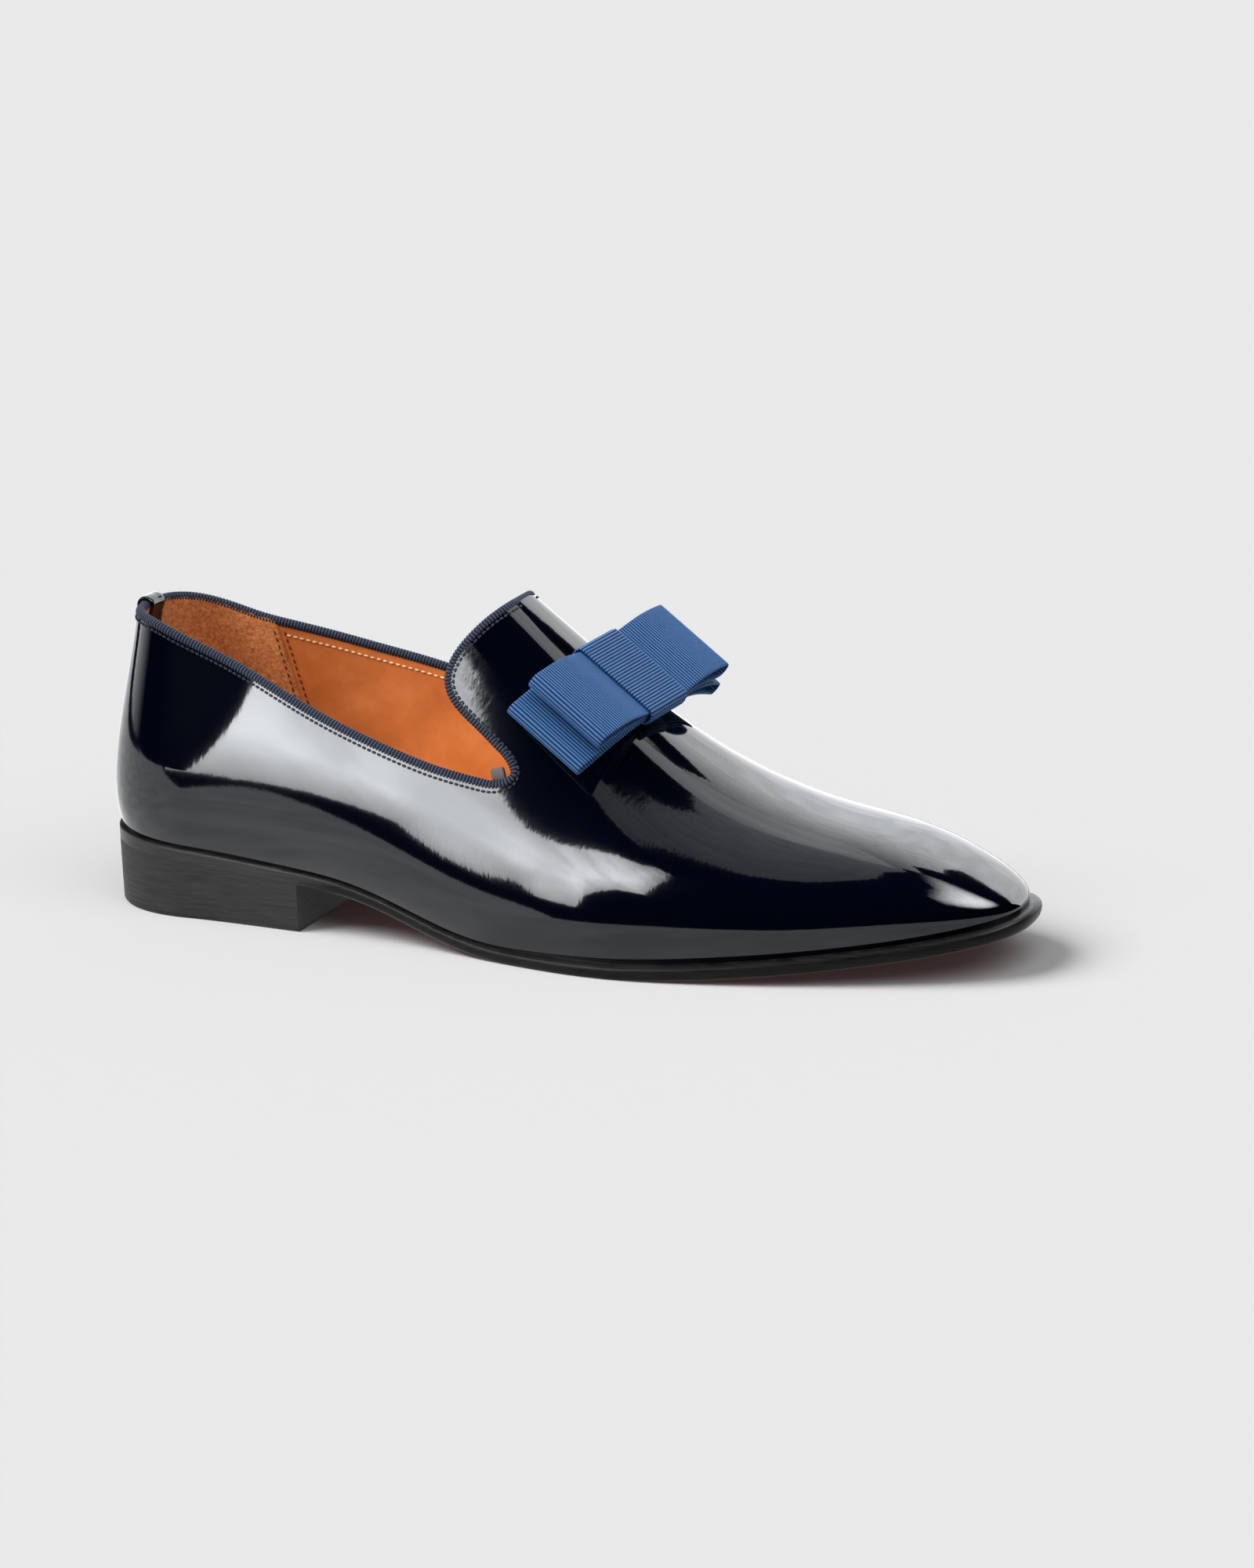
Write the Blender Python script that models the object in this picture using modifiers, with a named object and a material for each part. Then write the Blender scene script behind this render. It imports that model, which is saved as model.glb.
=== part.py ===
"""Patent leather slip-on with a ribbon bow, right shoe, standing empty on its sole.

Sizes are in millimetres in a working frame: x runs from the heel's feather edge to the toe,
-y is the lateral (outer) side, z is up from the floor. Meshes are written in metres, with the
origin under the middle of the whole shoe. The feather edge is the line where the upper meets the sole.
"""
import math

import bmesh
import bpy
import numpy as np

MM = 0.001
GAP = 0.3                      # clearance between neighbouring pieces

# Driving sizes
FEATHER_LENGTH = 298.0
HEEL_CENTRE = 34.0             # plan centre of the round heel
HEEL_SQUARE = 2.3              # power of the heel's plan outline
HEEL_BREAST = 74.0             # front face of the heel block
TREAD_FLAT = (155.0, 181.0)    # stretch of sole that rests on the floor
SEAT_HEIGHT = (21.2, 15.4)     # underside of the sole at the heel's back and breast
TOE_SPRING = 12.4
SPRING_POWER = 1.65
SOLE_THICK = 4.7
WALL = 2.2                     # upper and lining together
INSOLE_THICK = 2.6
INSOLE_TOE_EASE = 1.5          # extra clearance inside the toe
INSOLE_EASE_START = 268.0
BINDING_RADIUS = 1.7
TOE_ROUND = (225.0, 2.55)      # where the plan starts to close at the toe, and its power
CREST_ROUND = (240.0, 2.4)     # the same for the height of the toe

# Mesh sizes: spacing of the ribs along each piece, and numbers of points round heel, toe and topline
UPPER_STEP = 9.0
UPPER_LEVELS = 15
SOLE_STEP = 7.0
INSOLE_STEP = 12.0
HEEL_TURN_STEPS = 9
TOE_TURN_STEPS = 13
COLLAR_STEPS = 400
COLLAR_HEEL_STEPS = 30
BINDING_STEPS = 120
WELD = 0.02                    # points closer than this are one
RIB_LEVELS = np.linspace(0.02, 0.999, 400)   # where a rib is searched for a height

# x, lateral and medial half widths of the feather edge, sideways swing of its middle
WIDTHS = [
    (34, 29.0, 29.0, 0.0),
    (70, 31.5, 29.0, 0.0),
    (110, 35.2, 28.5, -0.5),
    (150, 42.0, 34.0, -0.3),
    (178, 45.2, 41.0, 0.0),
    (205, 42.8, 45.0, 0.3),
    (230, 38.4, 43.5, 1.2),
    (255, 34.4, 38.5, 3.0),
    (298, 32.0, 33.0, 6.0),
]
# x, crest height over the floor, sideways shift of the ridge towards the medial side
CREST = [
    (34, 166.0, 0.0),
    (80, 150.0, 2.0),
    (110, 127.5, 3.5),
    (134, 107.3, 4.5),
    (150, 94.0, 4.8),
    (166, 80.9, 4.5),
    (190, 63.4, 3.5),
    (215, 50.1, 2.5),
    (240, 42.2, 1.5),
    (265, 37.6, 0.5),
    (298, 28.0, 0.0),
]
# x, swell of the wall lateral and medial and its height, shoulder width lateral and medial and its height,
# brow width; widths are shares of the half width, heights are shares of the rise to the crest
SECTION = [
    (34, 4.2, 4.0, 0.10, 0.81, 0.86, 0.40, 0.50),
    (110, 6.0, 6.0, 0.13, 0.82, 0.93, 0.54, 0.44),
    (150, 3.2, 4.0, 0.20, 0.73, 0.86, 0.67, 0.38),
    (200, 4.0, 3.8, 0.31, 0.80, 0.88, 0.72, 0.38),
    (250, 2.6, 2.4, 0.36, 0.83, 0.90, 0.80, 0.46),
    (298, 2.3, 2.0, 0.41, 0.95, 0.97, 0.90, 0.51),
]
HEEL_BACK = {"feather": 33.1, "swell": 4.6, "shoulder": 0.75}
# x, how far the sole stands out past the feather edge
WELT = [(0, 1.4), (60, 1.3), (110, 0.8), (180, 3.0), (240, 3.6), (298, 3.7)]
# side view of the topline: along the collar from the heel, round the throat corner and up the tongue;
# x, height on the lateral side, how much higher the medial side runs
TOPLINE = [
    (-8.0, 94.2, 0.0),
    (10.0, 94.2, 0.0),
    (22.0, 92.9, -2.0),
    (35.2, 88.4, -1.8),
    (49.1, 83.3, 0.5),
    (63.8, 77.2, 3.8),
    (78.3, 71.0, 7.0),
    (94.2, 65.1, 9.8),
    (109.4, 60.1, 11.2),
    (124.6, 55.9, 11.2),
    (137.4, 53.6, 10.3),
    (144.9, 53.6, 9.2),
    (148.9, 56.6, 8.0),
    (146.9, 60.8, 6.6),
    (141.8, 65.2, 4.8),
    (135.0, 70.5, 2.8),
    (128.1, 76.2, 1.2),
    (124.8, 81.8, 0.4),
    (125.5, 87.6, 0.0),
    (129.5, 94.3, 0.0),
    (135.2, 100.3, 0.0),
    (141.0, 104.6, 0.0),
    (148.0, 109.5, 0.0),
]
CUTTER_ROWS = (-90.0, -8.0, 8.0, 90.0)   # y of the throat cutter's outlines, lateral ones first
CUTTER_ROOF = 230.0
# share of the edge's height from the top, inset from the sole's outline: bead, groove and lower edge
SOLE_EDGE = [(0.0, 0.7), (0.12, 0.0), (0.44, 0.0), (0.54, 0.55), (0.64, 0.1), (0.9, 0.1), (1.0, 0.6)]
HEEL_EDGE = [(0.0, 0.3), (0.03, 0.0), (0.96, 0.3), (1.0, 0.9)]
# strip over the back seam: lift is its clearance, rounding how much shorter its edges end,
# clear the stretch under the topline that its fold takes up
BACK_STAY = {
    "half_width": 4.0, "length": 34.0, "inside": 8.0, "thick": 0.9,
    "lift": 0.4, "rounding": 0.12, "clear": 3.2, "fold": (-15.0, 195.0),
}
BACK_STAY_MESH = {"columns": 7, "outside": 9, "fold": 8, "inside": 3}

# Bow: place on the ridge and how far it sits to the lateral side, slope, turn in plan and sideways tilt
# in degrees, ribbon sizes, slack of the band round the loops and how flat its turns are
BOW = {
    "x": 171.0, "aside": 1.5, "slope": 36.0, "turn": 6.0, "tilt": 5.5,
    "width": 29.0, "band_width": 21.0, "thick": 0.8, "slack": 0.6, "flat": 0.6,
}
# how far along the ribbon, height of the loop's mid line over the bow's plane, half of the loop's opening
LOWER_LOOP = [(0, 0.55, 0.55), (11, 0.55, 0.55), (20, -0.6, 1.1), (32, -4.2, 2.0), (42, -8.5, 2.2)]
UPPER_LOOP = [(0, 2.75, 0.55), (11, 2.75, 0.55), (20, 3.6, 1.7), (31, 3.0, 2.5), (38, 2.0, 2.5)]
LOOP_STEPS = 9

# name: colour, roughness, metallic
MATERIALS = {
    "patent_leather": ((0.006, 0.008, 0.017), 0.06, 0.0),
    "sole_edge": ((0.012, 0.012, 0.013), 0.35, 0.0),
    "heel_stack": ((0.020, 0.019, 0.018), 0.55, 0.0),
    "lining_leather": ((0.50, 0.22, 0.08), 0.55, 0.0),
    "grosgrain_dark": ((0.020, 0.030, 0.070), 0.80, 0.0),
    "grosgrain_blue": ((0.025, 0.060, 0.190), 0.75, 0.0),
}


def clear_scene():
    for item in list(bpy.data.objects):
        bpy.data.objects.remove(item, do_unlink=True)


def spline(xs, ys, start_slope=None):
    """Cubic spline through a short table, free at the toe end, free or with a set slope at the heel end."""
    xs = np.asarray(xs, float)
    ys = np.asarray(ys, float)
    n = len(xs)
    h = np.diff(xs)
    a = np.zeros((n, n))
    b = np.zeros(n)
    a[0, 0] = a[-1, -1] = 1.0
    if start_slope is not None:
        a[0, :2] = 2 * h[0], h[0]
        b[0] = 6 * ((ys[1] - ys[0]) / h[0] - start_slope)
    for i in range(1, n - 1):
        a[i, i - 1:i + 2] = h[i - 1], 2 * (h[i - 1] + h[i]), h[i]
        b[i] = 6 * ((ys[i + 1] - ys[i]) / h[i] - (ys[i] - ys[i - 1]) / h[i - 1])
    m = np.linalg.solve(a, b)

    def at(x):
        x = np.asarray(x, float)
        i = np.clip(np.searchsorted(xs, x) - 1, 0, n - 2)
        low, high, step = x - xs[i], xs[i + 1] - x, h[i]
        bend = (m[i] * high ** 3 + m[i + 1] * low ** 3) / (6 * step)
        return bend + (ys[i] / step - m[i] * step / 6) * high + (ys[i + 1] / step - m[i + 1] * step / 6) * low
    return at


def column(rows, k, start_slope=None):
    return spline([row[0] for row in rows], [row[k] for row in rows], start_slope)


half_width = {-1: column(WIDTHS, 1, 0.0), 1: column(WIDTHS, 2, 0.0)}
swing = column(WIDTHS, 3, 0.0)
crest_height = column(CREST, 1)
ridge_shift = column(CREST, 2, 0.0)
swell = {-1: column(SECTION, 1, 0.0), 1: column(SECTION, 2, 0.0)}
shoulder_width = {-1: column(SECTION, 4, 0.0), 1: column(SECTION, 5, 0.0)}
swell_level, shoulder_level, brow_width = [column(SECTION, k, 0.0) for k in (3, 6, 7)]
welt = column(WELT, 1, 0.0)


def sole_bottom(x):
    """Underside of the sole: sloping heel seat, waist, flat tread and toe spring."""
    x = np.asarray(x, float)
    slope = (SEAT_HEIGHT[1] - SEAT_HEIGHT[0]) / HEEL_BREAST
    span = TREAD_FLAT[0] - HEEL_BREAST
    t = np.clip((x - HEEL_BREAST) / span, 0, 1)
    fall = 1 - 10 * t ** 3 + 15 * t ** 4 - 6 * t ** 5
    lead = t - 6 * t ** 3 + 8 * t ** 4 - 3 * t ** 5
    waist = SEAT_HEIGHT[1] * fall + slope * span * lead
    s = np.clip((x - TREAD_FLAT[1]) / (FEATHER_LENGTH - TREAD_FLAT[1]), 0, 1.2)
    toe = TOE_SPRING * s ** SPRING_POWER
    return np.where(x < HEEL_BREAST, SEAT_HEIGHT[0] + slope * x, np.where(x < TREAD_FLAT[0], waist, toe))


def feather_height(x):
    return sole_bottom(x) + SOLE_THICK


def closing(x, start, power):
    """Factor that falls from 1 to 0 at the toe along a superellipse."""
    s = np.clip((x - start) / (FEATHER_LENGTH - start), 0, 1)
    return (1 - s ** power) ** (1 / power)


def cubic_basis(t, count):
    """Values of clamped uniform cubic B-spline functions at t in 0..1."""
    inner = np.linspace(0, 1, count - 2)
    knots = np.concatenate([np.zeros(3), inner, np.ones(3)])
    t = np.clip(np.asarray(t, float), 0, 1 - 1e-9)
    values = [((t >= low) & (t < high)).astype(float) for low, high in zip(knots[:-1], knots[1:])]
    for degree in range(1, 4):
        raised = []
        for i in range(len(values) - 1):
            rise = knots[i + degree] - knots[i]
            fall = knots[i + degree + 1] - knots[i + 1]
            left = (t - knots[i]) / rise * values[i] if rise > 0 else 0 * t
            right = (knots[i + degree + 1] - t) / fall * values[i + 1] if fall > 0 else 0 * t
            raised.append(left + right)
        values = raised
    return np.array(values).T


def side_levels(x, side):
    """Distance out from the middle and height over the feather edge of the five control levels."""
    plan = closing(x, *TOE_ROUND)
    rise = (crest_height(x) - feather_height(x)) * closing(x, *CREST_ROUND)
    w = half_width[side](x) * plan
    out = [w, w + swell[side](x) * plan, shoulder_width[side](x) * w, brow_width(x) * w, 0.0]
    up = [0.0, swell_level(x) * rise, shoulder_level(x) * rise, rise, rise]
    return np.array(out), np.array(up)


def controls(u, side):
    """Control points of one rib, from the feather edge to the crest.

    u is the station's x from the heel centre to the toe; below the heel centre it turns round the heel,
    and reaches the middle of the back at 0.
    """
    if u >= HEEL_CENTRE:
        out, up = side_levels(u, side)
        ridge = np.array([0, 0, 0, 1, 1]) * ridge_shift(u) * closing(u, *TOE_ROUND)
        y = swing(u) + side * out + ridge
        return np.stack([np.full(5, u), y, feather_height(u) + up], 1)
    turn = math.pi / 2 * (1 - u / HEEL_CENTRE)
    out, up = side_levels(HEEL_CENTRE, side)
    reach = HEEL_BACK["feather"]
    back = np.array([reach, reach + HEEL_BACK["swell"], reach * HEEL_BACK["shoulder"], out[3], 1.0])
    out = np.append(out[:4], 1.0)
    c, s = math.cos(turn), math.sin(turn)
    r = ((c / out) ** HEEL_SQUARE + (s / back) ** HEEL_SQUARE) ** (-1 / HEEL_SQUARE)
    r[4] = 0.0
    low = feather_height(HEEL_CENTRE - r[0] * s)
    base = low + (feather_height(HEEL_CENTRE) - low) * up / up[4]
    return np.stack([HEEL_CENTRE - r * s, side * r * c, base + up], 1)


def rib(u, side, t):
    """Points of the last's surface up one rib: t is 0 at the feather edge and 1 at the crest."""
    near = controls(u, side)
    if u >= HEEL_CENTRE:
        far = controls(u, -side)
    else:
        far = near * [-1, -1, 1] + [2 * HEEL_CENTRE, 0, 0]
    net = np.vstack([near, far[3::-1]])
    return cubic_basis(np.asarray(t) / 2, 9) @ net


def surface(u, side, t, offset=0.0):
    """Points up a rib, moved out along the surface's normal."""
    points = rib(u, side, t)
    if offset == 0.0:
        return points
    step, level_step = 0.05, 0.0025
    t = np.clip(np.asarray(t, float), 2 * level_step, 1 - 2 * level_step)
    along = rib(u + step, side, t) - rib(max(u - step, 0.0), side, t)
    climb = rib(u, side, t + level_step) - rib(u, side, t - level_step)
    normal = np.cross(along, climb) * -side
    return points + offset * normal / np.linalg.norm(normal, axis=1)[:, None]


def stations(step, toe_steps=TOE_TURN_STEPS):
    """Rib positions from the back of the heel to the toe tip, closer together round the toe."""
    heel = np.linspace(0, HEEL_CENTRE, HEEL_TURN_STEPS)
    body = np.linspace(HEEL_CENTRE, TOE_ROUND[0], int(round((TOE_ROUND[0] - HEEL_CENTRE) / step)) + 1)
    turn = np.linspace(0, math.pi / 2, toe_steps + 1)
    toe = TOE_ROUND[0] + (FEATHER_LENGTH - TOE_ROUND[0]) * np.sin(turn) ** (2 / TOE_ROUND[1])
    return np.concatenate([heel, body[1:], toe[1:]])


def outline(us, side, out):
    """Plan of the feather edge on one side, moved outwards; out is a function of x."""
    edge = np.array([controls(u, side)[0, :2] for u in us])
    dense = np.concatenate([np.linspace(0, HEEL_CENTRE, 60), stations(2.0, 90)[HEEL_TURN_STEPS:]])
    dense_edge = np.array([controls(u, side)[0, :2] for u in dense])
    run = np.gradient(dense_edge, axis=0)
    run[0], run[-1] = (0, side), (0, -side)
    run /= np.linalg.norm(run, axis=1)[:, None]
    run = np.stack([np.interp(us, dense, run[:, k]) for k in range(2)], 1)
    normal = np.stack([-run[:, 1], run[:, 0]], 1) * side
    normal /= np.linalg.norm(normal, axis=1)[:, None]
    return edge + normal * out(edge[:, 0])[:, None]


def path_spline(points):
    """Smooth curve through side-view points, by chord length; returns points at shares 0..1."""
    points = np.asarray(points, float)
    length = np.concatenate([[0], np.cumsum(np.linalg.norm(np.diff(points, axis=0), axis=1))])
    parts = [spline(length, points[:, k]) for k in range(points.shape[1])]
    return lambda s: np.stack([part(np.asarray(s) * length[-1]) for part in parts], -1)


def resample(points, count):
    """Evenly spaced points along a path, its two ends kept."""
    length = np.concatenate([[0], np.cumsum(np.linalg.norm(np.diff(points, axis=0), axis=1))])
    even = np.linspace(0, length[-1], count)
    return np.stack([np.interp(even, length, points[:, k]) for k in range(points.shape[1])], 1)


def topline_profile(side):
    """Side view of the topline on one side, as x and z."""
    table = np.array(TOPLINE)
    table[:, 1] += table[:, 2] * (side > 0)
    return path_spline(table[:, :2])(np.linspace(0, 1, COLLAR_STEPS))


def topline_half(side, offset):
    """The topline on the last, from the back of the heel to the top of the tongue."""
    profile = topline_profile(side)
    collar = profile[profile[:, 1].argmin()::-1]
    path = []
    for u in np.linspace(0, HEEL_CENTRE, COLLAR_HEEL_STEPS)[:-1]:
        points = surface(u, side, RIB_LEVELS, offset)
        over = points[:, 2] - np.interp(points[:, 0], collar[::-1, 0], collar[::-1, 1])
        k = np.argmax(over > 0)
        share = over[k - 1] / (over[k - 1] - over[k])
        path.append(points[k - 1] + share * (points[k] - points[k - 1]))
    for x, z in profile[profile[:, 0] >= HEEL_CENTRE]:
        u = x
        for _ in range(3):
            points = surface(u, side, RIB_LEVELS, offset)
            k = min(np.argmax(np.append(points[:, 2], np.inf) > z), len(points) - 1)
            share = np.clip((z - points[k - 1, 2]) / (points[k, 2] - points[k - 1, 2]), 0, 1)
            place = points[k - 1] + share * (points[k] - points[k - 1])
            u += x - place[0]
        if z > points[-1, 2]:
            break
        path.append(place)
    return np.array(path)


def binding_path(count):
    """Closed middle line of the topline binding, in the middle of the wall's thickness."""
    lateral = topline_half(-1, -WALL / 2)
    medial = topline_half(1, -WALL / 2)
    loop = np.vstack([lateral, medial[::-1]])
    return resample(loop, count + 1)[:-1]


def make_object(name, points, faces, material, collection):
    """Mesh object from points in the working frame."""
    mesh = bpy.data.meshes.new(name)
    mesh.from_pydata((np.asarray(points) * MM).tolist(), [], faces)
    bm = bmesh.new()
    bm.from_mesh(mesh)
    bmesh.ops.remove_doubles(bm, verts=bm.verts, dist=WELD * MM)
    bmesh.ops.recalc_face_normals(bm, faces=bm.faces)
    bm.to_mesh(mesh)
    bm.free()
    item = bpy.data.objects.new(name, mesh)
    collection.objects.link(item)
    if material:
        mesh.materials.append(material)
    return item


def grid_faces(rows, columns, closed=False):
    """Quads between neighbouring rows of a point grid; closed joins each row's ends."""
    faces = []
    for i in range(rows - 1):
        for j in range(columns if closed else columns - 1):
            k = (j + 1) % columns
            faces.append((i * columns + j, i * columns + k, (i + 1) * columns + k, (i + 1) * columns + j))
    return faces


def solidify(item, thickness, offset):
    mod = item.modifiers.new("wall", "SOLIDIFY")
    mod.thickness = thickness * MM
    mod.offset = offset
    mod.use_even_offset = True
    return mod


def plate(name, us, levels, material, collection):
    """Solid stacked from outlines. levels: (out, height) functions of x, from the top down."""
    rings = []
    for out, height in levels:
        lateral = outline(us, -1, out)
        medial = outline(us, 1, out)
        ring = np.vstack([lateral, medial[::-1]])
        rings.append(np.column_stack([ring, height(ring[:, 0])]))
    n = len(us)
    points = np.vstack(rings)
    faces = grid_faces(len(rings), 2 * n, closed=True)
    for base in (0, (len(rings) - 1) * 2 * n):
        for i in range(n - 1):
            faces.append((base + i, base + i + 1, base + 2 * n - 2 - i, base + 2 * n - 1 - i))
    return make_object(name, points, faces, material, collection)


def make_outsole(material, collection):
    top = lambda x: feather_height(x) - GAP
    levels = []
    for share, inset in SOLE_EDGE:
        out = lambda x, inset=inset: welt(x) - inset
        height = lambda x, share=share: top(x) + share * (sole_bottom(x) - top(x))
        levels.append((out, height))
    return plate("outsole", stations(SOLE_STEP), levels, material, collection)


def make_heel(material, collection):
    us = stations(SOLE_STEP)
    us = np.append(us[us < HEEL_BREAST - SOLE_STEP / 3], HEEL_BREAST)
    levels = []
    for share, inset in HEEL_EDGE:
        out = lambda x, inset=inset: welt(x) - inset
        height = lambda x, share=share: (sole_bottom(x) - GAP) * (1 - share)
        levels.append((out, height))
    return plate("heel", us, levels, material, collection)


def make_insole(material, collection):
    toe_share = lambda x: np.clip((x - INSOLE_EASE_START) / (FEATHER_LENGTH - INSOLE_EASE_START), 0, 1)
    inset = lambda x: -WALL - 4 * GAP - INSOLE_TOE_EASE * toe_share(x)
    under = lambda x: feather_height(x) + GAP
    levels = [(inset, lambda x: under(x) + INSOLE_THICK), (inset, under)]
    return plate("insole", stations(INSOLE_STEP)[:-1], levels, material, collection)


def make_cutter(collection):
    """Prism across the shoe that opens the collar and throat, clear of the binding."""
    points = []
    for y in CUTTER_ROWS:
        profile = topline_profile(y)[::2]
        run = np.gradient(profile, axis=0)
        run /= np.linalg.norm(run, axis=1)[:, None]
        edge = profile + (BINDING_RADIUS + GAP) * np.stack([run[:, 1], -run[:, 0]], 1)
        edge = np.vstack([edge, [edge[-1, 0], CUTTER_ROOF], [edge[0, 0], CUTTER_ROOF]])
        points += [(x, y, z) for x, z in edge]
    n = len(edge)
    last = (len(CUTTER_ROWS) - 1) * n
    faces = grid_faces(len(CUTTER_ROWS), n, closed=True)
    faces += [tuple(range(n)), tuple(range(last + n - 1, last - 1, -1))]
    cutter = make_object("throat_cutter", points, faces, None, collection)
    cutter.hide_render = True
    cutter.display_type = "WIRE"
    return cutter


def make_upper(cutter, material, collection):
    us = stations(UPPER_STEP)
    t = np.linspace(0, 1, UPPER_LEVELS)
    order = [(u, -1) for u in us[::-1]] + [(u, 1) for u in us[1:]]
    ribs = [rib(u, side, t) for u, side in order]
    upper = make_object("upper", np.vstack(ribs), grid_faces(len(ribs), len(t)), material, collection)
    solidify(upper, WALL, -1.0)
    cut = upper.modifiers.new("throat", "BOOLEAN")
    cut.operation = "DIFFERENCE"
    cut.solver = "EXACT"
    cut.object = cutter
    return upper


def make_tube(name, path, radius, material, collection):
    """Closed tube along a path."""
    curve = bpy.data.curves.new(name, "CURVE")
    curve.dimensions = "3D"
    curve.bevel_depth = radius * MM
    curve.bevel_resolution = 2
    line = curve.splines.new("POLY")
    line.points.add(len(path) - 1)
    for point, place in zip(line.points, path):
        point.co = (*(place * MM), 1.0)
    line.use_cyclic_u = True
    draft = bpy.data.objects.new(name + "_line", curve)
    collection.objects.link(draft)
    bpy.context.view_layer.update()
    mesh = bpy.data.meshes.new_from_object(draft.evaluated_get(bpy.context.evaluated_depsgraph_get()))
    bpy.data.objects.remove(draft, do_unlink=True)
    mesh.name = name
    item = bpy.data.objects.new(name, mesh)
    collection.objects.link(item)
    mesh.materials.clear()
    mesh.materials.append(material)
    return item


def make_back_stay(material, collection):
    """Strip up the back seam, over the binding and a little way down inside."""
    size, mesh = BACK_STAY, BACK_STAY_MESH
    lift = size["lift"]
    half = np.array([0.5])
    columns = []
    for v in np.linspace(-size["half_width"], size["half_width"], mesh["columns"]):
        u, side = abs(v), -1 if v < 0 else 1
        middle = topline_half_at(u, side)
        outer = surface(u, side, RIB_LEVELS, lift)
        inner = surface(u, side, RIB_LEVELS, -WALL - lift)
        top = middle[2] - size["clear"]
        low = middle[2] - size["length"] * (1 - size["rounding"] * (v / size["half_width"]) ** 2)
        rise = np.linspace(low, top, mesh["outside"])
        up = np.stack([np.interp(rise, outer[:, 2], outer[:, k]) for k in range(3)], 1)
        away = surface(u, side, half, 1.0)[0] - surface(u, side, half)[0]
        away[2] = 0
        away /= np.linalg.norm(away)
        arc = []
        for angle in np.radians(np.linspace(*size["fold"], mesh["fold"])):
            turn = math.cos(angle) * away + math.sin(angle) * np.array([0, 0, 1])
            arc.append(middle + (BINDING_RADIUS + lift) * turn)
        fall = np.linspace(top, middle[2] - size["inside"], mesh["inside"])
        down = np.stack([np.interp(fall, inner[:, 2], inner[:, k]) for k in range(3)], 1)
        columns.append(np.vstack([up, arc, down]))
    points = np.vstack(columns)
    item = make_object("back_stay", points, grid_faces(len(columns), len(columns[0])), material, collection)
    solidify(item, size["thick"], 1.0)
    return item


def topline_half_at(u, side):
    """Middle of the binding on the rib at u, near the back of the heel."""
    us = np.linspace(0, HEEL_CENTRE, COLLAR_HEEL_STEPS)[:-1]
    path = topline_half(side, -WALL / 2)[:len(us)]
    return np.array([np.interp(u, us, path[:, k]) for k in range(3)])


def bow_frame():
    """Bow's origin on the ridge and its axes: down the instep, across to the medial side, away from the shoe."""
    slope, turn, tilt = [math.radians(BOW[k]) for k in ("slope", "turn", "tilt")]
    down = np.array([math.cos(slope) * math.cos(turn), -math.cos(slope) * math.sin(turn), -math.sin(slope)])
    across = np.array([math.sin(turn), math.cos(turn), 0.0])
    away = np.cross(down, across)
    across = across * math.cos(tilt) + away * math.sin(tilt)
    away = np.cross(down, across)
    origin = rib(BOW["x"], 1, np.array([1.0]))[0] - BOW["aside"] * across
    return origin, down, across, away


def bow_lift():
    """Height of the bow's plane that keeps the band's underside clear of the instep."""
    origin, down, across, away = bow_frame()
    margin = 1.0
    reach = BOW["width"] / 2 + BOW["slack"] + 2 * margin
    half_band = BOW["band_width"] / 2 + margin
    upper_half = np.linspace(0.5, 1, 60)
    highest = 0.0
    for u in np.linspace(BOW["x"] - BOW["width"], BOW["x"] + BOW["width"], 61):
        for side in (-1, 1):
            local = rib(u, side, upper_half) - origin
            inside = (abs(local @ down) < reach) & (abs(local @ across) < half_band)
            if inside.any():
                highest = max(highest, (local @ away)[inside].max())
    return highest + GAP


def ribbon(name, loop, run, rise, along, half, origin, material, collection):
    """Ribbon bent into a closed loop in the plane of run and rise, with its width lying along the third axis."""
    rows = []
    for place in (-half, half):
        rows.append(origin + place * along + loop[:, :1] * run + loop[:, 1:] * rise)
    points = np.vstack(rows)
    item = make_object(name, points, grid_faces(2, len(loop), closed=True), material, collection)
    solidify(item, BOW["thick"], 0.0)
    return item


def loop_profile(table):
    """Closed outline of a bow loop: two layers that part towards rounded folds at both ends."""
    reach = table[-1][0]
    middle = column(table, 1, 0.0)
    spread = column(table, 2, 0.0)
    fold = table[-1][2]
    a = np.linspace(0, reach - fold, LOOP_STEPS)
    turn = np.linspace(math.pi / 2, -math.pi / 2, 7)[1:-1]
    top = np.column_stack([a, middle(a) + spread(a)])
    low = np.column_stack([a, middle(a) - spread(a)])[::-1]
    end = np.column_stack([fold * np.cos(turn), spread(reach - fold) * np.sin(turn)])
    end += [reach - fold, middle(reach - fold)]
    right = np.vstack([top, end, low])
    left = right[::-1] * [-1, 1]
    return np.vstack([right[:-1], left[:-1]])


def make_bow(material, collection):
    origin, down, across, away = bow_frame()
    band_under = bow_lift() + BOW["thick"] / 2
    layer = BOW["thick"] + GAP
    base = origin + away * (band_under + layer)
    half = BOW["width"] / 2
    items = []
    for name, table in (("bow_lower_loop", LOWER_LOOP), ("bow_upper_loop", UPPER_LOOP)):
        items.append(ribbon(name, loop_profile(table), across, away, down, half, base, material, collection))
    top = UPPER_LOOP[0][1] + UPPER_LOOP[0][2] + layer
    radius = (top + layer) / 2
    reach = half + BOW["thick"] / 2 + GAP
    turn = np.linspace(math.pi / 2, -math.pi / 2, 7)
    flat = BOW["flat"] * radius
    front = np.column_stack([reach + BOW["slack"] - flat + flat * np.cos(turn), radius * np.sin(turn)])
    band = np.vstack([front, front[::-1] * [-1, 1]]) + [0, radius - layer]
    items.append(ribbon("bow_band", band, down, away, across, BOW["band_width"] / 2, base, material, collection))
    return items


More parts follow.
